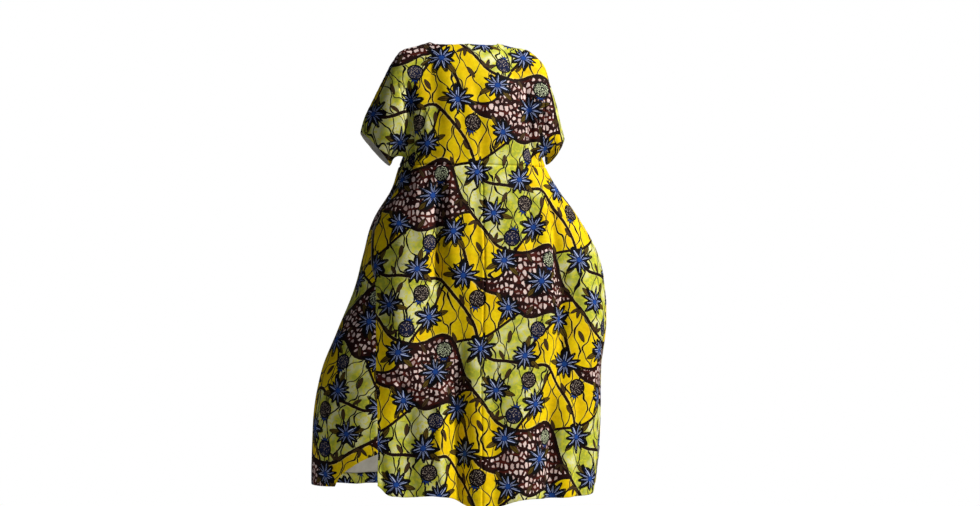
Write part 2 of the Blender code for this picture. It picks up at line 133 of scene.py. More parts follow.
def gap_at(arm: str, z: np.ndarray) -> np.ndarray:
    """Degrees that a side edge of the front stands open at heights, straight between rows."""
    return np.interp(z, [row.z for row in GAPS][::-1], [getattr(row, arm) for row in GAPS][::-1])


class Hem(NamedTuple):
    """Hem height, from the left side seam (0) to the right side seam (1)."""

    across: float
    z: float


HEMS = {
    Side.BACK: (
        Hem(0.0, -1.15), Hem(0.04, -1.171), Hem(0.1, -1.178), Hem(0.28, -1.177), Hem(0.36, -1.184),
        Hem(0.44, -1.206), Hem(0.54, -1.21), Hem(0.62, -1.192), Hem(0.76, -1.194), Hem(0.9, -1.188),
        Hem(1.0, -1.172),
    ),
    Side.FRONT: (
        Hem(0.0, -1.156), Hem(0.1, -1.163), Hem(0.3, -1.184), Hem(0.5, -1.19), Hem(0.75, -1.186),
        Hem(1.0, -1.172),
    ),
}


class Seam(NamedTuple):
    """A point of a sleeve's seam, keyed from the cuff (-1) to the body (0) and the centre (1)."""

    key: float
    x: float
    y: float
    z: float


NECK_KEY = 8 / 22
OVERARM = {
    "left": (
        Seam(-1.0, 0.272, -0.01, -0.24), Seam(-0.82, 0.263, -0.008, -0.206),
        Seam(-0.5, 0.239, -0.004, -0.153), Seam(-0.22, 0.213, 0.0, -0.1), Seam(0.0, 0.187, 0.002, -0.05),
        Seam(0.12, 0.166, 0.003, -0.024), Seam(0.24, 0.128, 0.005, -0.012),
        Seam(NECK_KEY, NECK_HALF_WIDTH, NECK_SIDE_Y, 0.0),
    ),
    "right": (
        Seam(-1.0, -0.277, -0.034, -0.247), Seam(-0.8, -0.262, -0.026, -0.2),
        Seam(-0.5, -0.247, -0.015, -0.147), Seam(-0.24, -0.227, -0.006, -0.094),
        Seam(0.0, -0.207, 0.0, -0.044), Seam(0.12, -0.172, 0.003, -0.017),
        Seam(0.24, -0.132, 0.005, -0.01), Seam(NECK_KEY, -NECK_HALF_WIDTH, NECK_SIDE_Y, 0.0),
    ),
}
CUFF_LOW = {
    "left": (Seam(-1.0, 0.196, -0.010, -0.327), Seam(-0.45, 0.182, 0.006, -0.305)),
    "right": (Seam(-1.0, -0.238, -0.048, -0.318), Seam(-0.45, -0.227, -0.010, -0.299)),
}


class Handle(NamedTuple):
    """Handles of a yoke column's curve: out and down at its top, out and up at its foot."""

    key: float
    out: float
    drop: float
    out_low: float
    rise: float


HANDLES = (
    Handle(-1.0, 0.078, 0.0, 0.078, 0.0), Handle(-0.5, 0.086, 0.004, 0.084, 0.01),
    Handle(-0.2, 0.088, 0.012, 0.076, 0.034), Handle(0.0, 0.082, 0.02, 0.06, 0.06),
    Handle(0.15, 0.072, 0.022, 0.036, 0.084), Handle(0.35, 0.064, 0.02, 0.01, 0.135),
    Handle(0.6, 0.064, 0.008, 0.0, 0.185), Handle(1.0, 0.066, 0.002, 0.0, 0.2),
)
NECK_REACH = {Side.BACK: 0.040, Side.FRONT: 0.096}
# Columns and rows round the front's armpits where folds die out, and how deep they are pinched
ARMPIT_CALM = (12.0, 26.0)
ARMPIT_PINCH = 0.0035


class Fold(NamedTuple):
    """A fold: its distance from the centre line at both ends (+ is the wearer's left), the
    heights where it starts and dies out, its half width and its rise (a trough is negative)."""

    start_across: float
    end_across: float
    start_z: float
    end_z: float
    width: float
    rise: float


FOLDS = {
    Side.BACK: (
        Fold(0.185, 0.205, -0.08, -0.4, 0.02, -0.012), Fold(0.11, 0.118, -0.04, -0.3, 0.022, -0.004),
        Fold(0.008, 0.0, -0.02, -0.42, 0.018, -0.004), Fold(-0.14, -0.152, -0.07, -0.38, 0.022, -0.008),
        Fold(0.115, 0.124, -0.32, -0.72, 0.024, -0.014),
        Fold(0.06, 0.046, -0.7, BELOW_HEM, 0.026, -0.036), Fold(0.205, 0.22, -0.52, -0.98, 0.05, 0.014),
        Fold(0.185, 0.2, -0.78, BELOW_HEM, 0.03, -0.012), Fold(0.3, 0.34, -0.6, BELOW_HEM, 0.036, 0.012),
        Fold(-0.13, -0.132, -0.35, -0.62, 0.024, -0.008), Fold(-0.19, -0.205, -0.4, -0.68, 0.024, -0.009),
        Fold(-0.225, -0.22, -0.5, -0.96, 0.03, -0.018),
        Fold(-0.31, -0.32, -0.48, BELOW_HEM, 0.036, 0.012),
        Fold(-0.09, -0.1, -0.7, BELOW_HEM, 0.04, 0.012),
        Fold(-0.19, -0.205, -0.82, BELOW_HEM, 0.036, -0.02),
    ),
    Side.FRONT: (
        Fold(0.16, 0.175, -0.08, -0.42, 0.024, -0.008), Fold(-0.16, -0.175, -0.08, -0.42, 0.024, -0.008),
        Fold(0.06, 0.08, -0.1, -0.46, 0.022, -0.005), Fold(-0.05, -0.07, -0.12, -0.48, 0.022, -0.005),
        Fold(0.12, 0.15, -0.33, BELOW_HEM, 0.034, -0.022),
        Fold(0.01, 0.01, -0.42, BELOW_HEM, 0.036, -0.026),
        Fold(-0.13, -0.15, -0.36, BELOW_HEM, 0.034, -0.022),
        Fold(0.27, 0.3, -0.68, BELOW_HEM, 0.036, -0.018),
        Fold(-0.26, -0.29, -0.68, BELOW_HEM, 0.036, -0.018),
        Fold(0.39, 0.42, -0.74, BELOW_HEM, 0.034, -0.012),
        Fold(-0.37, -0.39, -0.74, BELOW_HEM, 0.034, -0.01),
    ),
}
# Small creases, too fine for the solids, in the same columns as the folds
CREASES = {
    Side.BACK: (
        Fold(0.15, 0.172, -0.15, -0.33, 0.01, -0.0035), Fold(0.192, 0.208, -0.095, -0.39, 0.011, -0.011),
        Fold(0.125, 0.112, -0.5, -0.96, 0.055, -0.012), Fold(0.092, 0.08, -0.74, BELOW_HEM, 0.017, -0.01),
        Fold(0.04, 0.03, -0.74, BELOW_HEM, 0.014, 0.006),
        Fold(0.114, 0.123, -0.335, -0.68, 0.012, -0.0065),
        Fold(-0.138, -0.152, -0.09, -0.37, 0.011, -0.0045),
        Fold(-0.192, -0.206, -0.42, -0.69, 0.013, -0.006),
        Fold(-0.227, -0.221, -0.52, -0.95, 0.015, -0.007),
        Fold(-0.191, -0.206, -0.84, BELOW_HEM, 0.018, -0.008),
        Fold(0.02, 0.014, -0.35, -0.76, 0.014, -0.004), Fold(0.06, 0.05, -0.06, -0.24, 0.012, -0.002),
        Fold(-0.06, -0.072, -0.07, -0.3, 0.013, 0.0022),
        Fold(-0.172, -0.186, -0.16, -0.33, 0.01, -0.0035), Fold(0.14, 0.168, -0.33, -0.44, 0.01, -0.004),
        Fold(0.085, 0.09, -0.335, -0.56, 0.012, 0.003), Fold(-0.165, -0.215, -0.4, -0.48, 0.009, -0.0045),
        Fold(-0.185, -0.15, -0.42, -0.52, 0.009, 0.004), Fold(-0.25, -0.262, -0.52, -0.78, 0.014, -0.004),
        Fold(0.225, 0.19, -0.85, -0.93, 0.01, -0.005), Fold(0.105, 0.11, -0.82, -1.18, 0.014, 0.004),
        Fold(-0.03, -0.036, -0.9, BELOW_HEM, 0.014, -0.0035),
        Fold(-0.265, -0.275, -0.7, BELOW_HEM, 0.016, -0.0045),
        Fold(0.26, 0.275, -0.9, BELOW_HEM, 0.016, -0.0045),
    ),
    Side.FRONT: (
        Fold(0.12, 0.15, -0.2, -0.34, 0.01, -0.0035), Fold(-0.12, -0.15, -0.2, -0.34, 0.01, -0.0035),
        Fold(0.19, 0.24, -0.36, -0.52, 0.012, -0.004), Fold(-0.19, -0.235, -0.36, -0.52, 0.012, -0.004),
        Fold(0.07, 0.075, -0.6, BELOW_HEM, 0.016, 0.0045),
        Fold(-0.06, -0.062, -0.64, BELOW_HEM, 0.016, 0.0045),
        Fold(0.21, 0.225, -0.8, BELOW_HEM, 0.016, -0.0045),
        Fold(-0.21, -0.225, -0.76, BELOW_HEM, 0.016, -0.0045),
        Fold(0.34, 0.352, -0.82, BELOW_HEM, 0.015, 0.0045),
    ),
}


class Wave(NamedTuple):
    """A slow wave of the cloth: its share, radians per metre across and down, its phase."""

    share: float
    across: float
    down: float
    phase: float

    def at(self, across: np.ndarray, z: np.ndarray) -> np.ndarray:
        """Height of the wave: share times a sine of both runs."""
        return self.share * np.sin(self.across * across + self.down * z + self.phase)


WAVES = (Wave(1.0, 38, 9, 0.0), Wave(0.7, 61, -14, 1.3))
SMALL_WAVE = Wave(0.5, 97, 31, 0.4)
SMALL_BEAT = Wave(1.0, 0, 23, 2.0)  # swells and stills the small wave down the cloth
LEAN = Wave(0.06, 0, 7, 0.0)  # bends all of them to and fro


def read(rows: Sequence[Any], column: str, at: np.ndarray) -> np.ndarray:
    """Reads a table's column on the smooth curve through its rows.

    Between two rows the value is v0 + (3t^2 - 2t^3) dv plus the cubic terms of both slopes.

    Args:
        rows: Table rows whose first entry is the key.
        column: Name of the column.
        at: Keys to read at.

    Returns:
        Values, in the shape of `at`.
    """
    key = np.array([row[0] for row in rows], float)
    value = np.array([getattr(row, column) for row in rows], float)
    if key[0] > key[-1]:
        key, value = key[::-1], value[::-1]
    slope = np.gradient(value, key)
    at = np.clip(at, key[0], key[-1])
    k = np.clip(np.searchsorted(key, at) - 1, 0, len(key) - 2)
    step = key[k + 1] - key[k]
    t = (at - key[k]) / step
    body = value[k] + (3 * t**2 - 2 * t**3) * (value[k + 1] - value[k])
    return body + step * ((t**3 - 2 * t**2 + t) * slope[k] + (t**3 - t**2) * slope[k + 1])


def ease(t: np.ndarray) -> np.ndarray:
    """Goes from 0 to 1 with flat ends: 3t^2 - 2t^3."""
    t = np.clip(t, 0.0, 1.0)
    return t * t * (3 - 2 * t)


def spread(count: int, tight: Sequence[float]) -> np.ndarray:
    """Even fractions from 0 to 1, with extra ones close to both ends.

    Args:
        count: Number of even steps.
        tight: Extra distances from each end, as fractions.

    Returns:
        The sorted fractions.
    """
    even = np.linspace(0, 1, count + 1)
    near = np.array(tight, float)
    kept = even[(even <= 0) | (even >= 1) | ((even > near.max()) & (even < 1 - near.max()))]
    return np.unique(np.concatenate([kept, near, 1 - near]))


def lengths(points: np.ndarray, axis: int) -> np.ndarray:
    """Distance run along one axis of a grid of points, starting from 0."""
    steps = np.linalg.norm(np.diff(points, axis=axis), axis=-1)
    start = np.zeros_like(np.take(steps, [0], axis=axis))
    return np.concatenate([start, np.cumsum(steps, axis=axis)], axis=axis)


@dataclass(frozen=True)
class Fineness:
    """How finely a side is drawn: even steps, and the extra ones beside its seams."""

    half_columns: int = 88
    sleeve_columns: int = 28
    yoke_rows: int = 60
    skirt_rows: int = 124
    slit_rows: int = 20
    hem_rows: int = 6
    tight: tuple[float, ...] = (0.0028, 0.0065, 0.012, 0.02)
    seam_rows: tuple[float, ...] = (0.0013, 0.0030, 0.0055, 0.0090)


@dataclass
class DressSide:
    """Back or front of the dress as two grids, cuff to cuff and side seam to side seam.

    Columns run from the wearer's left to the wearer's right and rows run downwards. The
    yoke's last row is the body's first.
    """

    side: Side
    fine: Fineness = field(default_factory=Fineness)
    keys: np.ndarray = field(init=False)
    sleeve_keys: np.ndarray = field(init=False)
    levels: np.ndarray = field(init=False)
    yoke: np.ndarray = field(init=False)
    body: np.ndarray = field(init=False)
    yoke_normals: np.ndarray = field(init=False)
    body_normals: np.ndarray = field(init=False)

    def __post_init__(self) -> None:
        """Works out both grids with their folds."""
        self.keys = spread(self.fine.half_columns, self.fine.tight)
        self.sleeve_keys = np.linspace(-1, 0, self.fine.sleeve_columns + 1)[:-1]
        even = np.linspace(UNDERARM_Z, SLIT_TOP_Z, self.fine.skirt_rows + 1)
        beside = np.array([0.0, *self.fine.seam_rows])
        near = np.concatenate([YOKE_SEAM_Z + beside, YOKE_SEAM_Z - beside])
        far = even[np.abs(even - YOKE_SEAM_Z) > beside.max()]
        self.levels = np.unique(np.concatenate([far, near]))[::-1]
        base_body = self.body_base()
        base_yoke = self.yoke_base(base_body[0])
        self.fold(base_yoke, base_body)

    @property
    def sleeve(self) -> int:
        """Number of columns outside the body on each arm."""
        return len(self.sleeve_keys)

    @property
    def centre(self) -> int:
        """Index of the body's centre column."""
        return len(self.keys) - 1

    @property
    def seam_row(self) -> int:
        """Index of the body's row on the yoke seam."""
        return int(np.abs(self.levels - YOKE_SEAM_Z).argmin())

    @property
    def slit_row(self) -> int:
        """Index of the body's row at the slit's top."""
        return len(self.levels) - 1

    def ring_point(self, z: np.ndarray, degrees: np.ndarray) -> np.ndarray:
        """Points of a superellipse |x/a|^n + |y/b|^n = 1 whose a and b follow the sections.

        Args:
            z: Heights.
            degrees: Angles from +X towards the back, in the shape of `z`.

        Returns:
            Points, with x, y and z along a last axis.
        """
        angle = np.radians(degrees)
        c, s = np.cos(angle), np.sin(angle)
        wide = np.where(c > 0, read(SECTIONS, "left", z), read(SECTIONS, "right", z))
        deep = np.where(s > 0, read(SECTIONS, "back", z), read(SECTIONS, "front", z))
        power = 2 / RING_ROUNDNESS
        x = wide * np.sign(c) * np.abs(c) ** power
        y = deep * np.sign(s) * np.abs(s) ** power
        return np.stack([x, y, np.broadcast_to(z, x.shape)], axis=-1)

    def angle_table(self, heights: np.ndarray) -> np.ndarray:
        """Angle of every column at each of a few level rings, by even arc length.

        Args:
            heights: Heights of the level rings.

        Returns:
            Angles, rings by columns.
        """
        seam_left = read(SECTIONS, "seam_left", heights)
        seam_right = read(SECTIONS, "seam_right", heights)
        if self.side is Side.BACK:
            ends = (seam_left, read(SECTIONS, "centre_back", heights), seam_right)
        else:
            centre_front = np.full_like(heights, -90.0)
            far_side = seam_right - 360 + gap_at("right", heights)
            ends = (seam_left - gap_at("left", heights), centre_front, far_side)
        halves = []
        level = np.repeat(heights[:, None], ARC_SAMPLES, 1)
        for start, end, at in zip(ends, ends[1:], (self.keys, 1 - self.keys[::-1])):
            degrees = start[:, None] + (end - start)[:, None] * np.linspace(0, 1, ARC_SAMPLES)
            run = lengths(self.ring_point(level, degrees), 1)
            halves.append(np.array([np.interp(at * r[-1], r, d) for r, d in zip(run, degrees)]))
        return np.concatenate([halves[0], halves[1][:, 1:]], axis=1)

    def body_at(self, heights: np.ndarray) -> np.ndarray:
        """Body surface with every column at its own heights.

        Args:
            heights: Heights, rows by columns.

        Returns:
            Points, rows by columns.
        """
        rings = np.linspace(*LEVEL_RINGS)
        table = self.angle_table(rings)
        place = (heights - rings[0]) / (rings[1] - rings[0])
        low = np.clip(np.floor(place).astype(int), 0, len(rings) - 2)
        part = place - low
        column = np.broadcast_to(np.arange(table.shape[1]), heights.shape)
        angles = table[low, column] * (1 - part) + table[low + 1, column] * part
        return self.ring_point(heights, angles)

    def body_base(self) -> np.ndarray:
        """Body grid before folding: level rows to the slit's top, then rows that slope to the
        hem, the last of them HEM_DEPTH above it and a few between."""
        columns = 2 * len(self.keys) - 1
        across = np.concatenate([self.keys / 2, 1 - self.keys[::-1][1:] / 2])
        hem = read(HEMS[self.side], "z", across)
        slope = np.linspace(0, 1, self.fine.slit_rows + 1)[1:, None]
        above = SLIT_TOP_Z + (hem + HEM_DEPTH - SLIT_TOP_Z) * slope
        down = np.linspace(1, 0, self.fine.hem_rows + 1)[1:, None]
        turn = hem + HEM_DEPTH * down**HEM_CROWD
        level = np.repeat(self.levels[:, None], columns, 1)
        return self.body_at(np.concatenate([level, above, turn]))

    def yoke_base(self, ring: np.ndarray) -> np.ndarray:
        """Yoke and sleeves before folding: each column is a cubic curve from the shoulder and
        overarm line, carried on over the neck as a low crown, to the underarm line. The neck
        is an ellipse cut out of that surface.

        Args:
            ring: The body's first row.

        Returns:
            Points, rows by columns.
        """
        middle = self.centre
        left = self.yoke_half("left", ring[: middle + 1])
        right = self.yoke_half("right", ring[middle:][::-1])
        return np.concatenate([left, right[:, ::-1][:, 1:]], axis=1)

    def yoke_half(self, arm: str, ring: np.ndarray) -> np.ndarray:
        """One arm's columns, from the cuff to the centre.

        Args:
            arm: "left" or "right".
            ring: The body's first row on that arm's side, from the seam to the centre.

        Returns:
            Points, rows by columns.
        """
        keys = np.concatenate([self.sleeve_keys, self.keys])
        over = np.stack([read(OVERARM[arm], name, keys) for name in "xyz"], axis=-1)
        turn = np.clip((keys - NECK_KEY) / (1 - NECK_KEY), 0, 1) ** CROWN_EASE
        crown_x = over[-1, 0] * (1 - turn)
        level = np.full_like(crown_x, NECK_SIDE_Y)
        crown = np.stack([crown_x, level, NECK_CROWN_Z * ease(turn)], axis=-1)
        top = np.where((keys > NECK_KEY)[:, None], crown, over)
        rows = (*CUFF_LOW[arm], Seam(0.0, *ring[0]))
        low = np.stack([read(rows, name, keys) for name in "xyz"], axis=-1)
        low[len(self.sleeve_keys) :] = ring
        way = self.side.value
        handle = {name: read(HANDLES, name, keys) for name in Handle._fields[1:]}
        still = np.zeros_like(keys)
        top_pull = top + np.stack([still, way * handle["out"], -handle["drop"]], axis=-1)
        low_pull = low + np.stack([still, way * handle["out_low"], handle["rise"]], axis=-1)

        def curves(t: np.ndarray) -> np.ndarray:
            """Points of the cubic curves at t, rows by columns."""
            t = t[..., None]
            upper = top * (1 - t) ** 3 + 3 * top_pull * t * (1 - t) ** 2
            return upper + 3 * low_pull * t**2 * (1 - t) + low * t**3

        samples = np.linspace(*NECK_TRIES)
        tried = curves(np.repeat(samples[:, None], len(keys), 1))
        reach = np.abs(tried[..., 1] - NECK_SIDE_Y) / NECK_REACH[self.side]
        excess = (tried[..., 0] / NECK_HALF_WIDTH) ** 2 + reach**2 - 1
        first = np.maximum((excess >= 0).argmax(axis=0), 1)
        column = np.arange(len(keys))
        before, after = excess[first - 1, column], excess[first, column]
        part = np.clip(-before / np.where(after == before, 1, after - before), 0, 1)
        cut = samples[first - 1] + part * (samples[1] - samples[0])
        cut = np.where(keys > NECK_KEY, cut, 0.0)
        return curves(cut + (1 - cut) * np.linspace(0, 1, self.fine.yoke_rows + 1)[:, None])

    def normals(self, grid: np.ndarray) -> np.ndarray:
        """Unit normals of a grid, pointing out of the dress: down x along, turned by side."""
        down, along = np.gradient(grid, axis=0), np.gradient(grid, axis=1)
        normal = np.cross(down, along) * self.side.value
        return normal / np.linalg.norm(normal, axis=2, keepdims=True)

    def rise(self, grid: np.ndarray) -> np.ndarray:
        """Height of the folds and creases: each is (1 - FOLD_DIP r^2) exp(-r^2 / FOLD_SPREAD)
        across, with r in half widths, and grows and dies with flat ends down its length. A
        low, slow sum of sines makes the cloth uneven.

        Args:
            grid: Points, rows by columns.

        Returns:
            Rise in metres, rows by columns.
        """
        run = lengths(grid, 1)
        centre = grid.shape[1] // 2
        across, z = run[:, centre : centre + 1] - run, grid[..., 2]
        total = np.zeros_like(z)
        for fold in (*FOLDS[self.side], *CREASES[self.side]):
            way = (z - fold.start_z) / (fold.end_z - fold.start_z)
            middle = fold.start_across + (fold.end_across - fold.start_across) * way
            r = (across - middle) / fold.width
            profile = (1 - FOLD_DIP * r**2) * np.exp(-(r**2) / FOLD_SPREAD)
            total += fold.rise * profile * ease(way * FOLD_ENDS) * ease((1 - way) * FOLD_ENDS)
        lean = across + LEAN._replace(phase=self.side.value).at(across, z)
        slow = sum(wave.at(lean, z) for wave in WAVES)
        small = SMALL_WAVE.at(lean, z) * SMALL_BEAT.at(lean, z)
        return total + UNEVEN * (slow + small) * ease((UNEVEN_TOP - z) / UNEVEN_GROWTH)

    def fold(self, yoke: np.ndarray, body: np.ndarray) -> None:
        """Lifts both grids along their normals by the folds' rise, and keeps them joined.

        Args:
            yoke: Yoke grid before folding.
            body: Body grid before folding.
        """
        inner, rows = slice(self.sleeve, self.sleeve + body.shape[1]), len(yoke)
        upper, lower = self.joined_normals(yoke, body, FOLDING_BLEND)
        fade = ease(np.linspace(0, SHOULDER_FADE, rows))[:, None]
        calm = self.calm(rows, rows + len(body) - 1, yoke.shape[1])
        pinch = 4 * ARMPIT_PINCH * calm * (1 - calm)
        above, below = slice(0, rows), slice(rows - 1, None)
        lift = self.rise(yoke) * fade * calm[above] - pinch[above]
        self.yoke = yoke + upper * lift[..., None]
        lift = self.rise(body) * calm[below, inner] - pinch[below, inner]
        self.body = body + lower * lift[..., None]
        self.yoke[-1, inner] = self.body[0]
        self.refresh_normals()

    def calm(self, upper: int, rows: int, columns: int) -> np.ndarray:
        """How much of the folds is left near the front's armpits, where the cloth is pinched:
        none at an armpit, all beyond an ellipse of ARMPIT_CALM columns and rows.

        Args:
            upper: Rows of the yoke's grid, the last of which is at the armpits.
            rows: Rows of the whole side.
            columns: Columns of the yoke's grid.

        Returns:
            Shares, rows by columns.
        """
        if self.side is Side.BACK:
            return np.ones((rows, columns))
        column, row = np.arange(columns), np.arange(rows)[:, None] - upper + 1
        across = np.minimum(np.abs(column - self.sleeve), np.abs(columns - 1 - self.sleeve - column))
        wide, tall = ARMPIT_CALM
        return ease(np.hypot(across / wide, row / tall))

    def joined_normals(
        self, yoke: np.ndarray, body: np.ndarray, over: int
    ) -> tuple[np.ndarray, np.ndarray]:
        """Normals of both grids, the same along the row they share.

        Args:
            yoke: Yoke grid.
            body: Body grid.
            over: Yoke rows over which its own normals turn to those of both grids as one.

        Returns:
            Normals of the yoke and of the body.
        """
        inner, rows = slice(self.sleeve, self.sleeve + body.shape[1]), len(yoke)
        whole = self.normals(np.concatenate([yoke[:, inner], body[1:]]))
        upper = self.normals(yoke)
        blend = ease((np.arange(rows) - (rows - 1 - over)) / over)[:, None, None]
        mixed = upper[:, inner] * (1 - blend) + whole[:rows] * blend
        upper[:, inner] = mixed / np.linalg.norm(mixed, axis=2, keepdims=True)
        return upper, whole[rows - 1 :]

    def refresh_normals(self) -> None:
        """Works out the normals of the folded grids."""
        self.yoke_normals, self.body_normals = self.joined_normals(self.yoke, self.body, SEWN_BLEND)


def draw_together(back: np.ndarray, front: np.ndarray, sewn: np.ndarray) -> None:
    """Brings the first rows of two grids midway between them, and eases the rows after them
    by exp(-(d / SEWN_EASE)^2), where d is the run from the first.

    Args:
        back: Grid of the back, changed in place.
        front: Grid of the front, changed in place.
        sewn: Which columns are sewn.
    """
    gap = np.where(sewn[:, None], front[0] - back[0], 0.0) / 2
    for grid, way in ((back, 1), (front, -1)):
        grid += way * gap * np.exp(-((lengths(grid, 0) / SEWN_EASE) ** 2))[..., None]


def sew(back: DressSide, front: DressSide) -> None:
    """Brings both sides to the same points where they are sewn, and eases the cloth to them.

    Args:
        back: The back of the dress, changed in place.
        front: The front of the dress, changed in place.
    """
    shoulder = back.sleeve + int((back.keys <= NECK_KEY).sum())
    columns = back.yoke.shape[1]
    on_shoulder = np.zeros(columns, bool)
    on_shoulder[:shoulder] = on_shoulder[columns - shoulder :] = True
    under = np.zeros(columns, bool)
    under[: back.sleeve + 1] = under[columns - back.sleeve - 1 :] = True
    for order, sewn in ((1, on_shoulder), (-1, under)):
        draw_together(back.yoke[::order], front.yoke[::order], sewn)
    for order in (1, -1):
        edges = [one.body[:, ::order].swapaxes(0, 1) for one in (back, front)]
        shut = gap_at("left", edges[0][0, :, 2]) <= 0
        draw_together(*edges, shut & (np.arange(len(shut)) <= back.slit_row))
    for one in (back, front):
        inner = slice(one.sleeve, one.sleeve + one.body.shape[1])
        one.body[0] = one.yoke[-1, inner]
        one.refresh_normals()


@dataclass
class Layout:
    """Flat cloth coordinates of a side in millimetres, u to the wearer's right and v down."""

    side: DressSide
    row_step: int = 5
    column_step: int = 4
    rounds: int = 70
    steps: int = 45
    least_weight: float = 0.02
    yoke: np.ndarray = field(init=False)
    body: np.ndarray = field(init=False)

    def __post_init__(self) -> None:
        """Lays the side out flat on every few rows and columns, then fills in between."""
        side = self.side
        yoke_rows = self.some(len(side.yoke), self.row_step)
        body_rows = self.some(len(side.body), self.row_step)
        columns = self.some(side.body.shape[1], self.column_step)
        arm = self.some(side.sleeve + 1, self.column_step)
        width = side.yoke.shape[1]
        every = np.unique(np.concatenate([arm, side.sleeve + columns, width - 1 - arm]))
        upper = side.yoke[np.ix_(yoke_rows, every)]
        lower = side.body[np.ix_(body_rows, columns)]
        offset = int(np.searchsorted(every, side.sleeve))
        points, quads = join_grids(upper, lower, offset)
        start_upper = self.first_guess(upper, 0.0)
        drop = start_upper[-1, upper.shape[1] // 2, 1]
        start_lower = self.first_guess(lower, drop)
        start, _ = join_grids(start_upper, start_lower, offset)
        flat = self.flatten(points, quads, start)
        count = upper.shape[0] * upper.shape[1]
        flat_upper = flat[:count].reshape(*upper.shape[:2], 2)
        inner = flat_upper[-1:, offset : offset + len(columns)]
        flat_lower = np.concatenate([inner, flat[count:].reshape(-1, len(columns), 2)])
        middle = flat_upper.shape[1] // 2
        line = flat_lower[-1, len(columns) // 2] - flat_upper[0, middle]
        turn = math.atan2(line[0], line[1])
        spin = np.array([[math.cos(turn), math.sin(turn)], [-math.sin(turn), math.cos(turn)]])
        origin = flat_upper[0, middle].copy()
        self.yoke = self.fill(((flat_upper - origin) @ spin), side.yoke, yoke_rows, every) / MM
        self.body = self.fill(((flat_lower - origin) @ spin), side.body, body_rows, columns) / MM

    @staticmethod
    def some(count: int, step: int) -> np.ndarray:
        """Every few of a range of indices, with its ends and its middle."""
        return np.unique(np.concatenate([np.arange(0, count, step), [(count - 1) // 2, count - 1]]))

    @staticmethod
    def first_guess(grid: np.ndarray, drop: float) -> np.ndarray:
        """Run along each row from the centre, and run down the centre column.

        Args:
            grid: Points, rows by columns.
            drop: Run down to the grid's first row.

        Returns:
            Flat positions in metres, rows by columns.
        """
        run, centre = lengths(grid, 1), grid.shape[1] // 2
        across = run - run[:, centre : centre + 1]
        down = drop + lengths(grid[:, centre : centre + 1], 0)
        return np.stack([across, np.broadcast_to(down, across.shape)], axis=-1)

    def flatten(self, points: np.ndarray, quads: np.ndarray, start: np.ndarray) -> np.ndarray:
        """As-rigid-as-possible flattening: each triangle keeps its shape but for one turn,
        and the corners settle where those turned triangles agree best.

        Args:
            points: Points in space, n by 3.
            quads: Corner indices, m by 4.
            start: First flat positions, n by 2.

        Returns:
            Flat positions, n by 2.
        """
        faces = np.concatenate([quads[:, [0, 3, 1]], quads[:, [3, 2, 1]]])
        corner = points[faces]
        first, second = corner[:, 1] - corner[:, 0], corner[:, 2] - corner[:, 0]
        long = np.linalg.norm(first, axis=1)
        along = (first * second).sum(axis=1) / long
        rest = np.zeros((len(faces), 3, 2))
        rest[:, 1, 0], rest[:, 2, 0] = long, along
        rest[:, 2, 1] = np.sqrt(np.maximum((second**2).sum(axis=1) - along**2, 1e-12))
        before, after = [1, 2, 0], [2, 0, 1]
        edge = rest[:, before] - rest[:, after]
        a, b = -edge[:, after], edge[:, before]
        cross = np.abs(a[..., 0] * b[..., 1] - a[..., 1] * b[..., 0])
        weight = np.maximum(-(a * b).sum(axis=2) / cross, self.least_weight)
        ends = faces[:, before].ravel(), faces[:, after].ravel()
        flat = start.copy()
        for _ in range(self.rounds):
            now = (flat[ends[0]] - flat[ends[1]]).reshape(-1, 3, 2)
            spread_by = np.einsum("fe,fek,fel->fkl", weight, now, edge)
            sine = spread_by[:, 1, 0] - spread_by[:, 0, 1]
            cosine = spread_by[:, 0, 0] + spread_by[:, 1, 1]
            turn = np.arctan2(sine, cosine)[:, None]
            c, s = np.cos(turn), np.sin(turn)
            x = c * edge[..., 0] - s * edge[..., 1]
            y = s * edge[..., 0] + c * edge[..., 1]
            wanted = np.stack([x, y], axis=-1).reshape(-1, 2)
            flat = self.agree(flat, ends, weight.ravel(), wanted)
        return flat

    def agree(
        self, flat: np.ndarray, ends: tuple[np.ndarray, np.ndarray], weight: np.ndarray,
        wanted: np.ndarray,
    ) -> np.ndarray:
        """Moves points until the weighted edges between them are nearest what is wanted, by
        conjugate gradients.

        Args:
            flat: Where they start.
            ends: Indices of both ends of every edge.
            weight: Weight of every edge.
            wanted: Edge vectors wanted, from the second end to the first.

        Returns:
            Where they settle.
        """
        count = len(flat)

        def gather(vectors: np.ndarray) -> np.ndarray:
            """Sums edge vectors at their first end, and takes them away at their second."""
            parts = [
                np.bincount(ends[0], vectors[:, k], count) - np.bincount(ends[1], vectors[:, k], count)
                for k in range(2)
            ]
            return np.stack(parts, axis=1)

        def pull(at: np.ndarray) -> np.ndarray:
            """The weighted edge vectors of points, gathered."""
            return gather(weight[:, None] * (at[ends[0]] - at[ends[1]]))

        left = gather(weight[:, None] * wanted) - pull(flat)
        way, size = left, (left**2).sum()
        for _ in range(self.steps):
            pulled = pull(way)
            step = size / max((way * pulled).sum(), 1e-30)
            flat = flat + step * way
            left = left - step * pulled
            fresh = (left**2).sum()
            way, size = left + fresh / max(size, 1e-30) * way, fresh
        return flat

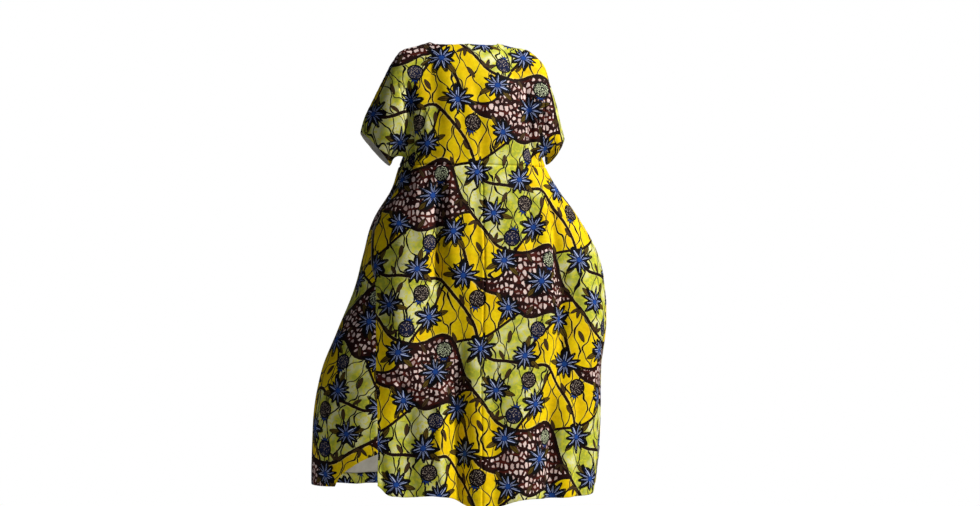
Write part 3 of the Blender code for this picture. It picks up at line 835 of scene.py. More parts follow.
    @staticmethod
    def fill(some: np.ndarray, grid: np.ndarray, rows: np.ndarray, columns: np.ndarray) -> np.ndarray:
        """Flat positions of every grid point, between the ones laid out.

        Args:
            some: Flat positions on some rows and columns.
            grid: All the points in space.
            rows: Indices of those rows.
            columns: Indices of those columns.

        Returns:
            Flat positions, in the grid's shape.
        """
        down = lengths(grid, 0).mean(axis=1)
        across = lengths(grid, 1).mean(axis=0)
        full = []
        for k in range(2):
            wide = np.stack([np.interp(across, across[columns], line[:, k]) for line in some])
            full.append(np.stack([np.interp(down, down[rows], line) for line in wide.T], axis=1))
        return np.stack(full, axis=-1)


def join_grids(upper: np.ndarray, lower: np.ndarray, offset: int) -> tuple[np.ndarray, np.ndarray]:
    """Joins two grids whose last and first rows are the same.

    Args:
        upper: Upper grid.
        lower: Lower grid, whose first row lies on the upper one's last.
        offset: Column of the upper grid where the lower one starts.

    Returns:
        All the points, and the quads' corners in the order down, across, up.
    """
    top = np.arange(upper.shape[0] * upper.shape[1]).reshape(upper.shape[:2])
    rest = np.arange((lower.shape[0] - 1) * lower.shape[1]).reshape(-1, lower.shape[1])
    low = np.concatenate([top[-1:, offset : offset + lower.shape[1]], rest + top.size])
    points = np.concatenate([upper.reshape(-1, upper.shape[-1]), lower[1:].reshape(-1, lower.shape[-1])])
    return points, np.concatenate([grid_quads(top), grid_quads(low)])


def grid_quads(index: np.ndarray) -> np.ndarray:
    """Quads of a grid of indices: corner, the one below, the one across from that, the one
    across from the first."""
    return np.stack(
        [index[:-1, :-1], index[1:, :-1], index[1:, 1:], index[:-1, 1:]], axis=-1
    ).reshape(-1, 4)


class MotifKind(Enum):
    """What a drawn motif is."""

    STAR = "star"
    FRUIT = "fruit"
    LEAF = "leaf"


class Motif(NamedTuple):
    """One motif of the repeat: how far along which vine, how far below it, its turn in
    degrees, its size, and its variety. A leaf's variety is 1 for a sprig and 2 for one leaf."""

    along: float
    vine: int
    below: float
    turn: float
    size: float
    variety: float


class Bloom(NamedTuple):
    """A star flower by a vine, with the directions of its two leaves in degrees."""

    along: float
    vine: int
    below: float
    turn: float
    size: float
    leaf: float
    other_leaf: float


# Grounds of the repeat's cells, a row for each border and a letter for each vine:
# Y yellow, L lime, C crackle
GROUNDS = ("YYL", "CYY", "CLL")


@dataclass(frozen=True)
class Repeat:
    """The print's half-drop repeat in millimetres of flat cloth.

    Two families of wavy lines cross: vines that run down to the right, and borders that run
    down to the left. Both carry on over the half-drop lattice. The cells between them hold
    the three grounds, and every motif is placed from a vine.
    """

    width: float = 290.0
    drop: float = 230.0
    height: float = 460.0
    vines: int = 3
    borders: int = 3
    vine_waves: tuple[float, float] = (46.0, 13.0)
    vine_warp: float = 14.0
    border_wave: float = 40.0
    border_warp: float = 12.0
    leaf_reach: float = 34.0  # from a bloom's middle to the middles of its leaves
    leaf_scale: float = 1.15
    blooms: tuple[Bloom, ...] = (
        Bloom(149, 2, 100, 53, 1.0, 122, 344), Bloom(285, 2, 4, 26, 0.96, 134, 313),
        Bloom(160, 1, -85, 37, 1.05, 335, 134), Bloom(70, 1, 22, 25, 0.98, 232, 120),
        Bloom(62, 0, 30, 63, 1.02, 155, 47), Bloom(222, 1, -1, 52, 1.06, 168, 61),
        Bloom(114, 2, -24, 17, 1.0, 40, 283), Bloom(243, 1, 76, 60, 1.02, 187, 15),
        Bloom(39, 0, -79, 62, 0.98, 223, 16),
    )
    fruits: tuple[Motif, ...] = (
        Motif(126, 2, 37, 111, 1.0, 0.2), Motif(85, 0, -36, 287, 1.0, 0.7),
        Motif(278, 1, 40, 110, 1.04, 0.4), Motif(149, 1, 36, 111, 0.96, 0.9),
        Motif(187, 0, 38, 95, 1.0, 0.5),
    )
    leaves: tuple[Motif, ...] = (
        Motif(255, 2, 14, 60, 0.85, 2.0), Motif(215, 0, -15, 250, 0.9, 2.0),
        Motif(237, 2, -15, 250, 0.9, 2.0), Motif(242, 0, 16, 90, 1.0, 1.0),
        Motif(131, 0, 15, 60, 0.9, 2.0), Motif(42, 0, -16, 290, 1.1, 1.0),
        Motif(52, 2, -15, 240, 0.85, 2.0), Motif(127, 1, -17, 308, 0.95, 2.0),
        Motif(280, 0, 17, 103, 1.05, 1.0), Motif(176, 2, 35, 101, 0.95, 2.0),
        Motif(195, 1, -26, 78, 0.95, 2.0), Motif(69, 2, 33, 119, 0.95, 2.0),
        Motif(172, 2, -53, 73, 1.0, 2.0), Motif(288, 0, 68, 63, 1.0, 2.0),
        Motif(73, 2, -64, 100, 1.0, 2.0),
    )

    def vine_wave(self, u: np.ndarray) -> np.ndarray:
        """Height of the first vine before its slow warp: a slope and two sines of u."""
        turn = 2 * math.pi * u / self.width
        slope = self.drop / self.width * u
        long, short = self.vine_waves
        return slope + long * np.sin(turn + 0.6) + short * np.sin(2 * turn + 2.0)

    def warp(self, u: np.ndarray, v: np.ndarray) -> np.ndarray:
        """A slow shift that makes neighbouring vines differ: a sine of 2v and u."""
        turn = 2 * math.pi * (2 * v / self.height + u / self.width)
        return self.vine_warp * np.sin(turn + 0.8)

    def vine(self, u: np.ndarray, v: np.ndarray) -> np.ndarray:
        """Counts vines passed on the way down: whole numbers lie on a vine."""
        return (v + self.warp(u, v) - self.vine_wave(u)) * self.vines / self.height

    def border(self, u: np.ndarray, v: np.ndarray) -> np.ndarray:
        """Counts borders passed on the way down: whole numbers lie on a border."""
        turn = 2 * math.pi * u / self.width
        wave = self.drop / self.width * u + self.border_wave * np.sin(turn + 3.4)
        shift = self.border_warp * np.sin(2 * math.pi * (2 * v / self.height) - turn + 1.1)
        return (v + shift + wave) * self.borders / self.height

    def vine_height(self, u: np.ndarray, number: np.ndarray) -> np.ndarray:
        """The v at which a numbered vine passes u, by fixed-point steps on its own formula."""
        start = number * self.height / self.vines + self.vine_wave(u)
        v = start.copy()
        for _ in range(40):
            v = start - self.warp(u, v)
        return v

    def placed(self, kind: MotifKind) -> np.ndarray:
        """Every motif of one kind: u, v, turn in radians, size and variety as columns.

        Args:
            kind: Which motifs.

        Returns:
            One row for each motif.
        """
        bloom, rows = np.array(self.blooms, float), []
        bloom_v = self.vine_height(bloom[:, 0], bloom[:, 1]) + bloom[:, 2]
        if kind is MotifKind.STAR:
            own = (bloom[:, 0], bloom_v, np.radians(bloom[:, 3]), bloom[:, 4], np.arange(len(bloom)) + 1.0)
            return np.stack(own, 1)
        data = np.array(self.fruits if kind is MotifKind.FRUIT else self.leaves, float)
        v = self.vine_height(data[:, 0], data[:, 1]) + data[:, 2]
        rows.append(np.stack([data[:, 0], v, np.radians(data[:, 3]), data[:, 4], data[:, 5]], 1))
        if kind is MotifKind.LEAF:
            reach, size = self.leaf_reach * bloom[:, 4], bloom[:, 4] * self.leaf_scale
            for column in (5, 6):
                turn = np.radians(bloom[:, column])
                u, leaf_v = bloom[:, 0] + reach * np.cos(turn), bloom_v + reach * np.sin(turn)
                rows.append(np.stack([u, leaf_v, turn, size, np.zeros(len(u))], 1))
        return np.concatenate(rows)

    def nearest(self, kind: MotifKind, u: np.ndarray, v: np.ndarray) -> np.ndarray:
        """Coordinates in the nearest motif of a kind, in its own turn and size.

        Args:
            kind: Which motifs.
            u: Flat cloth coordinates across, any number of points.
            v: Flat cloth coordinates down.

        Returns:
            Columns x, y, variety and distance, a row for each point.
        """
        rows = self.placed(kind)
        best = np.full((len(u), 4), 1e3)
        for at_u, at_v, turn, size, variety in rows:
            du, dv = u - at_u, v - at_v
            across = np.round(du / self.width)
            du, dv = du - across * self.width, dv - across * self.drop
            dv = dv - np.round(dv / self.height) * self.height
            x = (du * math.cos(turn) + dv * math.sin(turn)) / size
            y = (dv * math.cos(turn) - du * math.sin(turn)) / size
            away = np.hypot(x, y)
            here = np.stack([x, y, np.full_like(x, variety), away], axis=1)
            best = np.where((away < best[:, 3])[:, None], here, best)
        return best

    def drawn_on(self, flat: np.ndarray) -> dict[str, np.ndarray]:
        """The print's coordinates at each point of the cloth.

        Args:
            flat: Flat cloth coordinates, n by 2.

        Returns:
            Named vectors, n by 3 each: cloth (u, v), bands (vines and borders passed), pitch
            (millimetres from one vine or border to the next), star, fruit and leaf (x, y and
            variety in the nearest one) and near (the distances to those three).
        """
        u, v = flat[:, 0], flat[:, 1]
        zero = np.zeros_like(u)
        step = 0.5
        pitch = []
        for family in (self.vine, self.border):
            slope_u = (family(u + step, v) - family(u - step, v)) / (2 * step)
            slope_v = (family(u, v + step) - family(u, v - step)) / (2 * step)
            pitch.append(1 / np.hypot(slope_u, slope_v))
        found = {kind: self.nearest(kind, u, v) for kind in MotifKind}
        return {
            "cloth": np.stack([u, v, zero], 1),
            "bands": np.stack([self.vine(u, v), self.border(u, v), zero], 1),
            "pitch": np.stack([pitch[0], pitch[1], zero], 1),
            **{kind.value: rows[:, :3] for kind, rows in found.items()},
            "near": np.stack([found[kind][:, 3] for kind in MotifKind], 1),
        }


def linear(code: str) -> tuple[float, float, float, float]:
    """Turns an sRGB hex colour into linear RGBA.

    Args:
        code: Six hex digits after a #.

    Returns:
        Linear red, green, blue and an alpha of 1.
    """
    parts = [int(code[k : k + 2], 16) / 255 for k in (1, 3, 5)]
    lit = [p / 12.92 if p <= 0.04045 else ((p + 0.055) / 1.055) ** 2.4 for p in parts]
    return (*lit, 1.0)


# Inputs of a Mix node set to colours (how much, what is below, what is above) and its output
COLOUR_MIX = (0, 6, 7)
COLOUR_MIXED = 2


Adder = Callable[..., Any]

# Signs for the Math node's operations that are used most
SIGNS = {
    "+": "ADD", "-": "SUBTRACT", "*": "MULTIPLY", "/": "DIVIDE", "*+": "MULTIPLY_ADD",
    "<": "LESS_THAN", ">": "GREATER_THAN", "| |": "ABSOLUTE",
}


class Surface:
    """A material and its nodes while they are being laid."""

    def __init__(self, name: str) -> None:
        """Starts a material with an empty tree but for its shader."""
        self.material = bpy.data.materials.new(name)
        self.material.use_nodes = True
        self.tree = self.material.node_tree
        self.shader = self.tree.nodes["Principled BSDF"]

    def add(self, kind: str, *inputs: Any, at: dict[Any, Any] | None = None, out: Any = 0,
            **settings: Any) -> Any:
        """Adds one node with its settings and links. A Mix lays its third input over its
        second where the first is 1.

        Args:
            kind: Node type without its prefix, or a Math operation in capitals or by its sign.
            inputs: Sockets, values or hex colours for the first inputs, None to leave one alone.
            at: The same by input number or name.
            out: Output to return, several of them, or None for the node.
            settings: Properties of the node.

        Returns:
            The output socket or sockets, or the node.
        """
        kind = SIGNS.get(kind, kind)
        node = self.tree.nodes.new("ShaderNodeMath" if kind.isupper() else f"ShaderNode{kind}")
        if kind.isupper():
            node.operation = kind
        places: Sequence[int] = range(len(inputs))
        if kind == "Mix":
            node.data_type, places, out = "RGBA", COLOUR_MIX, COLOUR_MIXED
        for name, value in settings.items():
            setattr(node, name, value)
        for place, value in {**dict(zip(places, inputs)), **(at or {})}.items():
            self.give(node.inputs[place], value)
        if isinstance(out, tuple):
            return [node.outputs[k] for k in out]
        return node if out is None else node.outputs[out]

    def give(self, socket: bpy.types.NodeSocket, value: Any) -> None:
        """Links a socket or sets its value, with a hex colour made linear."""
        if isinstance(value, bpy.types.NodeSocket):
            self.tree.links.new(value, socket)
        elif value is not None:
            socket.default_value = linear(value) if isinstance(value, str) else value

    def set(self, **values: Any) -> None:
        """Sets or links the shader's own sockets, named with _ for a space."""
        for name, value in values.items():
            self.give(self.shader.inputs[name.replace("_", " ")], value)


@dataclass(frozen=True)
class WaxPrintCotton:
    """Wax print cotton: plain weave dyed through resist, so outlines are near black with a
    thin pale halo, grounds are blotchy, and the finish has a faint wax sheen."""

    yellow: str = "#F6D800"
    deep_yellow: str = "#F0C800"
    lime: str = "#BCC440"
    pale: str = "#E9EAB2"
    blotch: str = "#DCD638"
    net: str = "#260A08"
    net_brown: str = "#4E1A12"
    cell: str = "#F1DAD6"
    dull_cell: str = "#B4938E"
    outline: str = "#060405"
    vine_colour: str = "#1C0907"
    halo: str = "#F6EFB4"
    petal: str = "#193A86"
    petal_tip: str = "#04081A"
    streak: str = "#C2D2FF"
    hub: str = "#1F4A9C"
    olive: str = "#5C4914"
    dark_leaf: str = "#4C3820"
    fruit_skin: str = "#1A1116"
    blue_skin: str = "#141B3C"
    speck: str = "#B3A496"
    net_fruit: str = "#D8E4BE"
    ogee_pitch: float = 22.5  # mm between vein lines
    ogee_swing: float = 9.0
    ogee_height: float = 96.0
    crackle_size: float = 12.5
    border_half: float = 3.4  # mm, as are the sizes below
    stem_half: float = 1.8
    leaf_long: float = 34.0
    leaf_half: float = 15.5
    sprig_long: float = 26.0
    sprig_half: float = 11.0
    sprig_turn: float = 0.85  # radians between a sprig's leaves
    fruit_radius: float = 22.0
    skin_radius: float = 18.4
    crown_from: float = 17.0
    crown_turn: float = 0.62  # radians between the crown's points
    petals: int = 10
    petal_long: float = 29.0
    petal_longer: float = 17.0
    petal_half: float = 12.5
    hub_radius: float = 6.0
    heart_radius: float = 9.0
    blots: float = 0.022  # per mm: blotches about 45 mm across
    washed: float = 0.034  # about 30 mm
    flecks: float = 0.11  # about 9 mm
    thread: float = 1.5  # mm, drawn coarser than the real 0.4 so that it shows

    def make(self) -> bpy.types.Material:
        """Builds the material from the cloth's own coordinates.

        Returns:
            The finished material.
        """
        s = Surface("wax_print_cotton")
        add = s.add
        cloth = add("Attribute", attribute_name="cloth", out="Vector")
        u, v = add("SeparateXYZ", cloth, out=(0, 1))
        near, bands, pitch = (
            add("SeparateXYZ", add("Attribute", attribute_name=name, out="Vector"), out=(0, 1, 2))
            for name in ("near", "bands", "pitch")
        )
        blot = add("TexNoise", cloth, None, self.blots, 3.0, 0.6, noise_dimensions="2D")
        small = add("TexNoise", cloth, None, self.flecks, 2.0, 0.5, noise_dimensions="2D")
        soft = add("MapRange", blot, 0.35, 0.68, 0.0, 1.0)
        yellow = add("Mix", soft, self.yellow, self.deep_yellow)
        washed = add("TexNoise", cloth, None, self.washed, 3.0, 0.62, 0.4, noise_dimensions="2D")
        pale = add("MapRange", washed, 0.42, 0.62, 0.0, 1.0)
        lime = add("Mix", pale, self.lime, self.pale)
        patch = add("MapRange", small, 0.50, 0.60, 0.0, 0.8)
        lime = add("Mix", patch, lime, self.blotch)
        vines, cells = float(len(GROUNDS[0])), float(len(GROUNDS) * len(GROUNDS[0]))
        vine_line = self.away(add, bands[0], pitch[0])
        border_line = self.away(add, bands[1], pitch[1])
        vine_cell = add("FLOORED_MODULO", add("FLOOR", bands[0]), vines)
        over_half = add(">", add("FRACT", bands[1]), 0.5)
        beyond = add("*+", over_half, 2.0, -1.0)
        grounds = []
        for place in (bands[1], add("+", bands[1], beyond)):
            border_cell = add("FLOORED_MODULO", add("FLOOR", place), float(len(GROUNDS)))
            number = add("*+", border_cell, vines, vine_cell)
            grounds.append(self.ground(add, add("/", add("+", number, 0.5), cells)))
        here, there = grounds
        changes = [add("| |", add("-", a, b)) for a, b in zip(here, there)]
        changed = add(">", add("+", *changes), 0.5)
        border = add("*", add("<", border_line, self.border_half), changed)
        colour = add("Mix", here[0], yellow, lime)
        vein, halo = self.veins(add, cloth, u, v)
        colour = add("Mix", add("*", halo, 0.12), colour, self.halo)
        colour = add("Mix", vein, colour, self.outline)
        colour = add("Mix", here[1], colour, self.crackle(add, cloth, vine_line))
        stout = add("*+", small, 2.8, 2.8)
        pale_rim = add("<", vine_line, add("+", stout, 1.7))
        off_net = add("*", pale_rim, add("-", 1.0, here[1]))
        colour = add("Mix", add("*", off_net, 0.22), colour, self.halo)
        colour = add("Mix", border, colour, self.vine_colour)
        colour = add("Mix", add("<", vine_line, stout), colour, self.vine_colour)
        colour = self.leaves(add, colour, near[2])
        colour = self.fruits(add, colour, near[1], here[1])
        colour = self.stars(add, colour, near[0])
        worn = add("MapRange", small, 0.3, 0.7, 0.92, 1.05)
        even = add("CombineXYZ", worn, worn, worn)
        colour = add("Mix", 1.0, colour, even, blend_type="MULTIPLY")
        rough = add("MapRange", blot, 0.3, 0.7, 0.68, 0.80)
        s.set(Base_Color=colour, Roughness=rough, IOR=1.45, Specular_IOR_Level=0.12,
              Sheen_Weight=0.01, Normal=weave(add, cloth, u, v, self.thread))
        return s.material

    def away(self, add: Adder, count: Any, pitch: Any) -> Any:
        """Millimetres to the nearest line of a family that is counted at whole numbers."""
        half = add("| |", add("-", add("FRACT", count), 0.5))
        return add("*", add("-", 0.5, half), pitch)

    def ground(self, add: Adder, at: Any) -> list[Any]:
        """Looks a cell's ground up in the repeat's table.

        Args:
            add: Adds a node.
            at: Cell number as a fraction.

        Returns:
            Sockets that are 1 on lime ground and on crackle ground.
        """
        table = "".join(GROUNDS)
        node = add("ValToRGB", at, out=None)
        ramp = node.color_ramp
        ramp.interpolation = "CONSTANT"
        for k, name in enumerate(table):
            stop = ramp.elements[k] if k < 2 else ramp.elements.new(k / len(table))
            stop.position = k / len(table)
            stop.color = (float(name == "L"), float(name == "C"), 0.0, 1.0)
        return add("SeparateColor", node.outputs[0], out=(0, 1))

    def veins(self, add: Adder, cloth: Any, u: Any, v: Any) -> tuple[Any, Any]:
        """Thin veins that meet and part as tall ogee cells: lines at whole pitches, swinging
        by a sine of v, every other one the other way.

        Args:
            add: Adds a node.
            cloth: Flat cloth coordinates.
            u: Across.
            v: Down.

        Returns:
            Masks of the veins and of the pale halo beside them.
        """
        hand = add("TexNoise", cloth, None, 0.02, 1.0, out="Color", noise_dimensions="2D")
        across, down = add("SeparateColor", hand, out=(0, 1))
        shaken_u = add("*+", across, 26.0, u)
        shaken_v = add("*+", down, 50.0, v)
        wave = add("SINE", add("*", shaken_v, 2 * math.pi / self.ogee_height))
        swing = add("*", wave, self.ogee_swing)
        even = add("PINGPONG", add("-", shaken_u, swing), self.ogee_pitch)
        moved = add("-", add("+", shaken_u, swing), self.ogee_pitch)
        odd = add("PINGPONG", moved, self.ogee_pitch)
        away = add("MINIMUM", even, odd)
        return add("<", away, 1.8), add("<", away, 2.9)

    def crackle(self, add: Adder, cloth: Any, vine_line: Any) -> Any:
        """Crackle ground: a dark net round pinkish cells, taller than wide, that get smaller
        towards the vines.

        Args:
            add: Adds a node.
            cloth: Flat cloth coordinates.
            vine_line: Millimetres to the nearest vine.

        Returns:
            Its colour.
        """
        size = self.crackle_size
        at = add("VectorMath", cloth, (1 / size, 0.70 / size, 1.0), operation="MULTIPLY")
        edge, cell, close = (
            add("TexVoronoi", at, None, 1.0, feature=feature, voronoi_dimensions="2D", out=out,
                  at={"Randomness": 0.82})
            for feature, out in (("DISTANCE_TO_EDGE", "Distance"), ("F1", "Color"), ("F1", "Distance"))
        )
        tone, odd = add("SeparateColor", cell, out=(0, 1))
        rim = add("MapRange", vine_line, 3.0, 16.0, 0.32, 0.13)
        thin = add("*+", odd, 0.12, rim)
        streak = add("VectorMath", cloth, (0.024, 0.075, 1.0), operation="MULTIPLY")
        dark = add("TexNoise", streak, None, 1.0, 2.0, 0.5, noise_dimensions="2D")
        thin = add("+", thin, add("MapRange", dark, 0.50, 0.72, 0.0, 0.22))
        inside = add("*", add(">", edge, thin), add("<", close, 0.52))
        shade = add("MapRange", tone, 0.45, 1.0, 0.0, 0.9)
        fill = add("Mix", shade, self.cell, self.dull_cell)
        brown = add("MapRange", dark, 0.52, 0.40, 0.0, 1.0)
        return add("Mix", inside, add("Mix", brown, self.net, self.net_brown), fill)

    def leaves(self, add: Adder, colour: Any, near: Any) -> Any:
        """Draws pointed leaves: half width leaf_half t^0.6 (1 - t)^0.7 along a leaf, and three
        smaller ones from one foot for a sprig.

        Args:
            add: Adds a node.
            colour: Colour below.
            near: Distance to the nearest leaf's middle.

        Returns:
            The colour with the leaves.
        """
        own = add("Attribute", attribute_name="leaf", out="Vector")
        x, y, variety = add("SeparateXYZ", own, out=(0, 1, 2))
        sprig = add("COMPARE", variety, 1.0, 0.1)
        brown = add("<", variety, 0.5)
        foot = add("+", x, add("*+", sprig, -6.0, 17.0))
        out = add("VectorMath", add("CombineXYZ", foot, y, 0.0), operation="LENGTH", out=1)
        angle = add("ARCTAN2", y, foot)
        turns = add("ROUND", add("/", angle, self.sprig_turn))
        turns = add("MAXIMUM", add("MINIMUM", turns, 1.0), -1.0)
        turned = add("*", add("*", turns, self.sprig_turn), sprig)
        turned = add("-", angle, turned)
        along = add("*", out, add("COSINE", turned))
        aside = add("| |", add("*", out, add("SINE", turned)))
        shorter = self.sprig_long - self.leaf_long
        t = add("/", along, add("*+", sprig, shorter, self.leaf_long))
        limit = add("*+", sprig, 3.2, 18.4)
        inside = add("*", add(">", t, 0.0), add("<", near, limit))
        rise = add("POWER", add("MAXIMUM", t, 0.0), 0.6)
        fall = add("POWER", add("MAXIMUM", add("-", 1.0, t), 0.0), 0.7)
        wide = add("*+", sprig, self.sprig_half - self.leaf_half, self.leaf_half)
        half = add("*", add("*", rise, fall), wide)
        within = add("-", half, aside)
        body = add("*", add(">", within, 0.0), inside)
        fill = add("*", add(">", within, 1.5), body)
        rib = add("*", add("<", aside, 0.45), fill)
        colour = add("Mix", body, colour, self.outline)
        colour = add("Mix", fill, colour, add("Mix", brown, self.dark_leaf, self.olive))
        return add("Mix", rib, colour, self.outline)

    def fruits(self, add: Adder, colour: Any, near: Any, on_net: Any) -> Any:
        """Draws round fruits on a stem, with a dark skin, small pale specks and a crown of
        five points.

        Args:
            add: Adds a node.
            colour: Colour below.
            near: Distance to the nearest fruit's middle.
            on_net: 1 on crackle ground, where the specks are pale and large.

        Returns:
            The colour with the fruits.
        """
        own = add("Attribute", attribute_name="fruit", out="Vector")
        x, y, variety = add("SeparateXYZ", own, out=(0, 1, 2))
        flat = add("VectorMath", own, (1.0, 1.0, 0.0), operation="MULTIPLY")
        out = add("VectorMath", flat, operation="LENGTH", out=1)
        close = add("<", near, 42.0)
        behind = add("*", add("<", x, 0.0), close)
        stem = add("*", add("<", add("| |", y), self.stem_half), behind)
        crown_x = add("-", x, self.crown_from)
        fan = add("/", add("ARCTAN2", y, crown_x), self.crown_turn)
        tip = add("ROUND", fan)
        crown = add("VectorMath", add("CombineXYZ", crown_x, y, 0.0), operation="LENGTH", out=1)
        aside = add("*", add("| |", add("-", fan, tip)), self.crown_turn)
        aside = add("*", aside, crown)
        ahead = add("*", add("<", add("| |", tip), 2.5), close)
        long = add("*+", add("| |", tip), -2.2, 22.0)
        left = add("-", 1.0, add("/", crown, long))
        spike = add("-", add("*", left, 5.8), aside)
        spiked = add("*", add(">", spike, 0.0), ahead)
        blue = add("*", add(">", spike, 1.5), ahead)
        body = add("*", add("<", out, self.fruit_radius), close)
        fill = add("*", add("<", out, self.skin_radius), close)
        bluish = add(">", variety, 0.6)
        skin = add("Mix", bluish, self.fruit_skin, self.blue_skin)
        at = add("VectorMath", own, (0.24, 0.24, 3.0), operation="MULTIPLY")
        edge = add("TexVoronoi", at, None, 1.0, feature="DISTANCE_TO_EDGE",
                     voronoi_dimensions="3D", out="Distance")
        limit = add("*+", on_net, -0.07, 0.25)
        speck = add("*", add(">", edge, limit), fill)
        colour = add("Mix", stem, colour, self.vine_colour)
        colour = add("Mix", spiked, colour, self.outline)
        colour = add("Mix", blue, colour, self.petal)
        colour = add("Mix", body, colour, self.outline)
        colour = add("Mix", fill, colour, skin)
        return add("Mix", speck, colour, add("Mix", on_net, self.speck, self.net_fruit))

    def stars(self, add: Adder, colour: Any, near: Any) -> Any:
        """Draws star flowers: narrow pointed petals of uneven length with half width
        petal_half t^0.6 (1 - t)^0.75, black outlines and ribs, blue fill that darkens outwards,
        pale streaks beside the ribs and a blue hub.

        Args:
            add: Adds a node.
            colour: Colour below.
            near: Distance to the nearest star's middle.

        Returns:
            The colour with the stars.
        """
        own = add("Attribute", attribute_name="star", out="Vector")
        x, y, variety = add("SeparateXYZ", own, out=(0, 1, 2))
        flat = add("VectorMath", own, (1.0, 1.0, 0.0), operation="MULTIPLY")
        out = add("VectorMath", flat, operation="LENGTH", out=1)
        sector = 2 * math.pi / self.petals
        angle = add("ARCTAN2", y, x)
        three, five = (
            add("SINE", add("*+", angle, lobes, add("*", variety, own_turn)))
            for lobes, own_turn in ((3.0, 2.1), (5.0, 1.3))
        )
        bent = add("*+", three, 0.13, add("*+", five, 0.06, angle))
        turn = add("/", bent, sector)
        number = add("ROUND", turn)
        signed = add("*", add("*", add("-", turn, number), sector), out)
        aside = add("| |", signed)
        chance = add("TexWhiteNoise", add("CombineXYZ", number, variety, 0.0), noise_dimensions="2D")
        long = add("*+", chance, self.petal_longer, self.petal_long)
        t = add("/", out, long)
        left = add("MAXIMUM", add("-", 1.0, t), 0.0)
        profile = add("*", add("POWER", t, 0.6), add("POWER", left, 0.75))
        within = add("-", add("*", profile, self.petal_half), aside)
        close = add("<", near, 46.0)
        tip = add("<", t, 1.03)
        body = add("*", add(">", within, -2.8), add("*", tip, close))
        fill = add("*", add(">", within, 2.2), close)
        rib = add("*", add("<", aside, 0.35), add(">", t, 0.30))
        beside = add("<", add("| |", add("-", signed, 1.1)), 0.58)
        other = add("<", add("| |", add("+", signed, 1.5)), 0.30)
        long_lit = add("*", add(">", t, 0.22), add("<", t, 0.76))
        short_lit = add("*", add(">", t, 0.30), add("<", t, 0.55))
        lit = add("MAXIMUM", add("*", beside, long_lit), add("*", other, short_lit))
        bright = add("*", add("*", lit, fill), 0.92)
        heart = add("*", add("<", out, self.heart_radius), close)
        hub = add("*", add("<", out, self.hub_radius), close)
        colour = add("Mix", add("MAXIMUM", body, heart), colour, self.outline)
        blue = add("Mix", add("*", t, 1.25), self.petal, self.petal_tip)
        colour = add("Mix", fill, colour, blue)
        colour = add("Mix", bright, colour, self.streak)
        colour = add("Mix", add("*", rib, fill), colour, self.outline)
        return add("Mix", hub, colour, self.hub)


def weave(add: Adder, cloth: Any, u: Any, v: Any, thread: float) -> Any:
    """Normal of a plain weave with slubs and faint puckers: sines of u and v at the thread's
    pitch, noise stretched along both threads, and slow noise.

    Args:
        add: Adds a node.
        cloth: Flat cloth coordinates in millimetres.
        u: Across.
        v: Down.
        thread: Drawn thread pitch in millimetres.

    Returns:
        A normal for the shader.
    """
    turn = math.pi / thread
    over_under = add("*", add("SINE", add("*", u, turn)), add("SINE", add("*", v, turn)))
    long_u = add("VectorMath", cloth, (0.05, 0.9, 1.0), operation="MULTIPLY")
    long_v = add("VectorMath", cloth, (0.9, 0.05, 1.0), operation="MULTIPLY")
    slub = add("+", add("TexNoise", long_u, None, 1.0, 1.0, noise_dimensions="2D"),
                 add("TexNoise", long_v, None, 1.0, 1.0, noise_dimensions="2D"))
    fine = add("*+", slub, 0.5, add("*", over_under, 0.35))
    near = add("Bump", 0.35, 0.00012, at={"Height": fine})
    slow = add("TexNoise", cloth, None, 0.028, 2.0, 0.45, noise_dimensions="2D")
    return add("Bump", 0.5, 0.0022, at={"Height": slow, "Normal": near})


@dataclass(frozen=True)
class PlainCotton:
    """Unprinted side of the cloth and pocket cotton: matt off-white plain weave, slightly
    grey in blotches, which reads as thin washed cotton."""

    name: str
    light: str = "#E9E7E0"
    grey: str = "#D3D0C8"
    thread: float = 1.5  # mm, drawn coarser than the real 0.4 so that it shows

    def make(self) -> bpy.types.Material:
        """Builds the material from the cloth's own coordinates.

        Returns:
            The finished material.
        """
        s = Surface(self.name)
        add = s.add
        cloth = add("Attribute", attribute_name="cloth", out="Vector")
        u, v = add("SeparateXYZ", cloth, out=(0, 1))
        blot = add("TexNoise", cloth, None, 0.02, 3.0, 0.6, noise_dimensions="2D")
        soft = add("MapRange", blot, 0.35, 0.7, 0.0, 1.0)
        rough = add("MapRange", blot, 0.3, 0.7, 0.80, 0.90)
        normal = weave(add, cloth, u, v, self.thread)
        colour = add("Mix", soft, self.light, self.grey)
        s.set(Base_Color=colour, Roughness=rough, IOR=1.5, Sheen_Weight=0.1, Normal=normal)
        return s.material


@dataclass(frozen=True)
class SewingThread:
    """Spun polyester thread: a slight shine along the twist, dark brown or yellow."""

    name: str
    colour: str
    dark: str
    twist: float = 900.0  # turns of the drawn twist per metre

    def make(self) -> bpy.types.Material:
        """Builds the material from object coordinates.

        Returns:
            The finished material.
        """
        s = Surface(self.name)
        add = s.add
        at = add("TexCoord", out="Object")
        ply = add("TexNoise", at, None, self.twist, 1.0, out=0)
        colour = add("Mix", ply, self.colour, self.dark)
        normal = add("Bump", 0.4, 0.0002, at={"Height": ply})
        s.set(Base_Color=colour, Roughness=0.48, IOR=1.5, Sheen_Weight=0.15, Normal=normal)
        return s.material


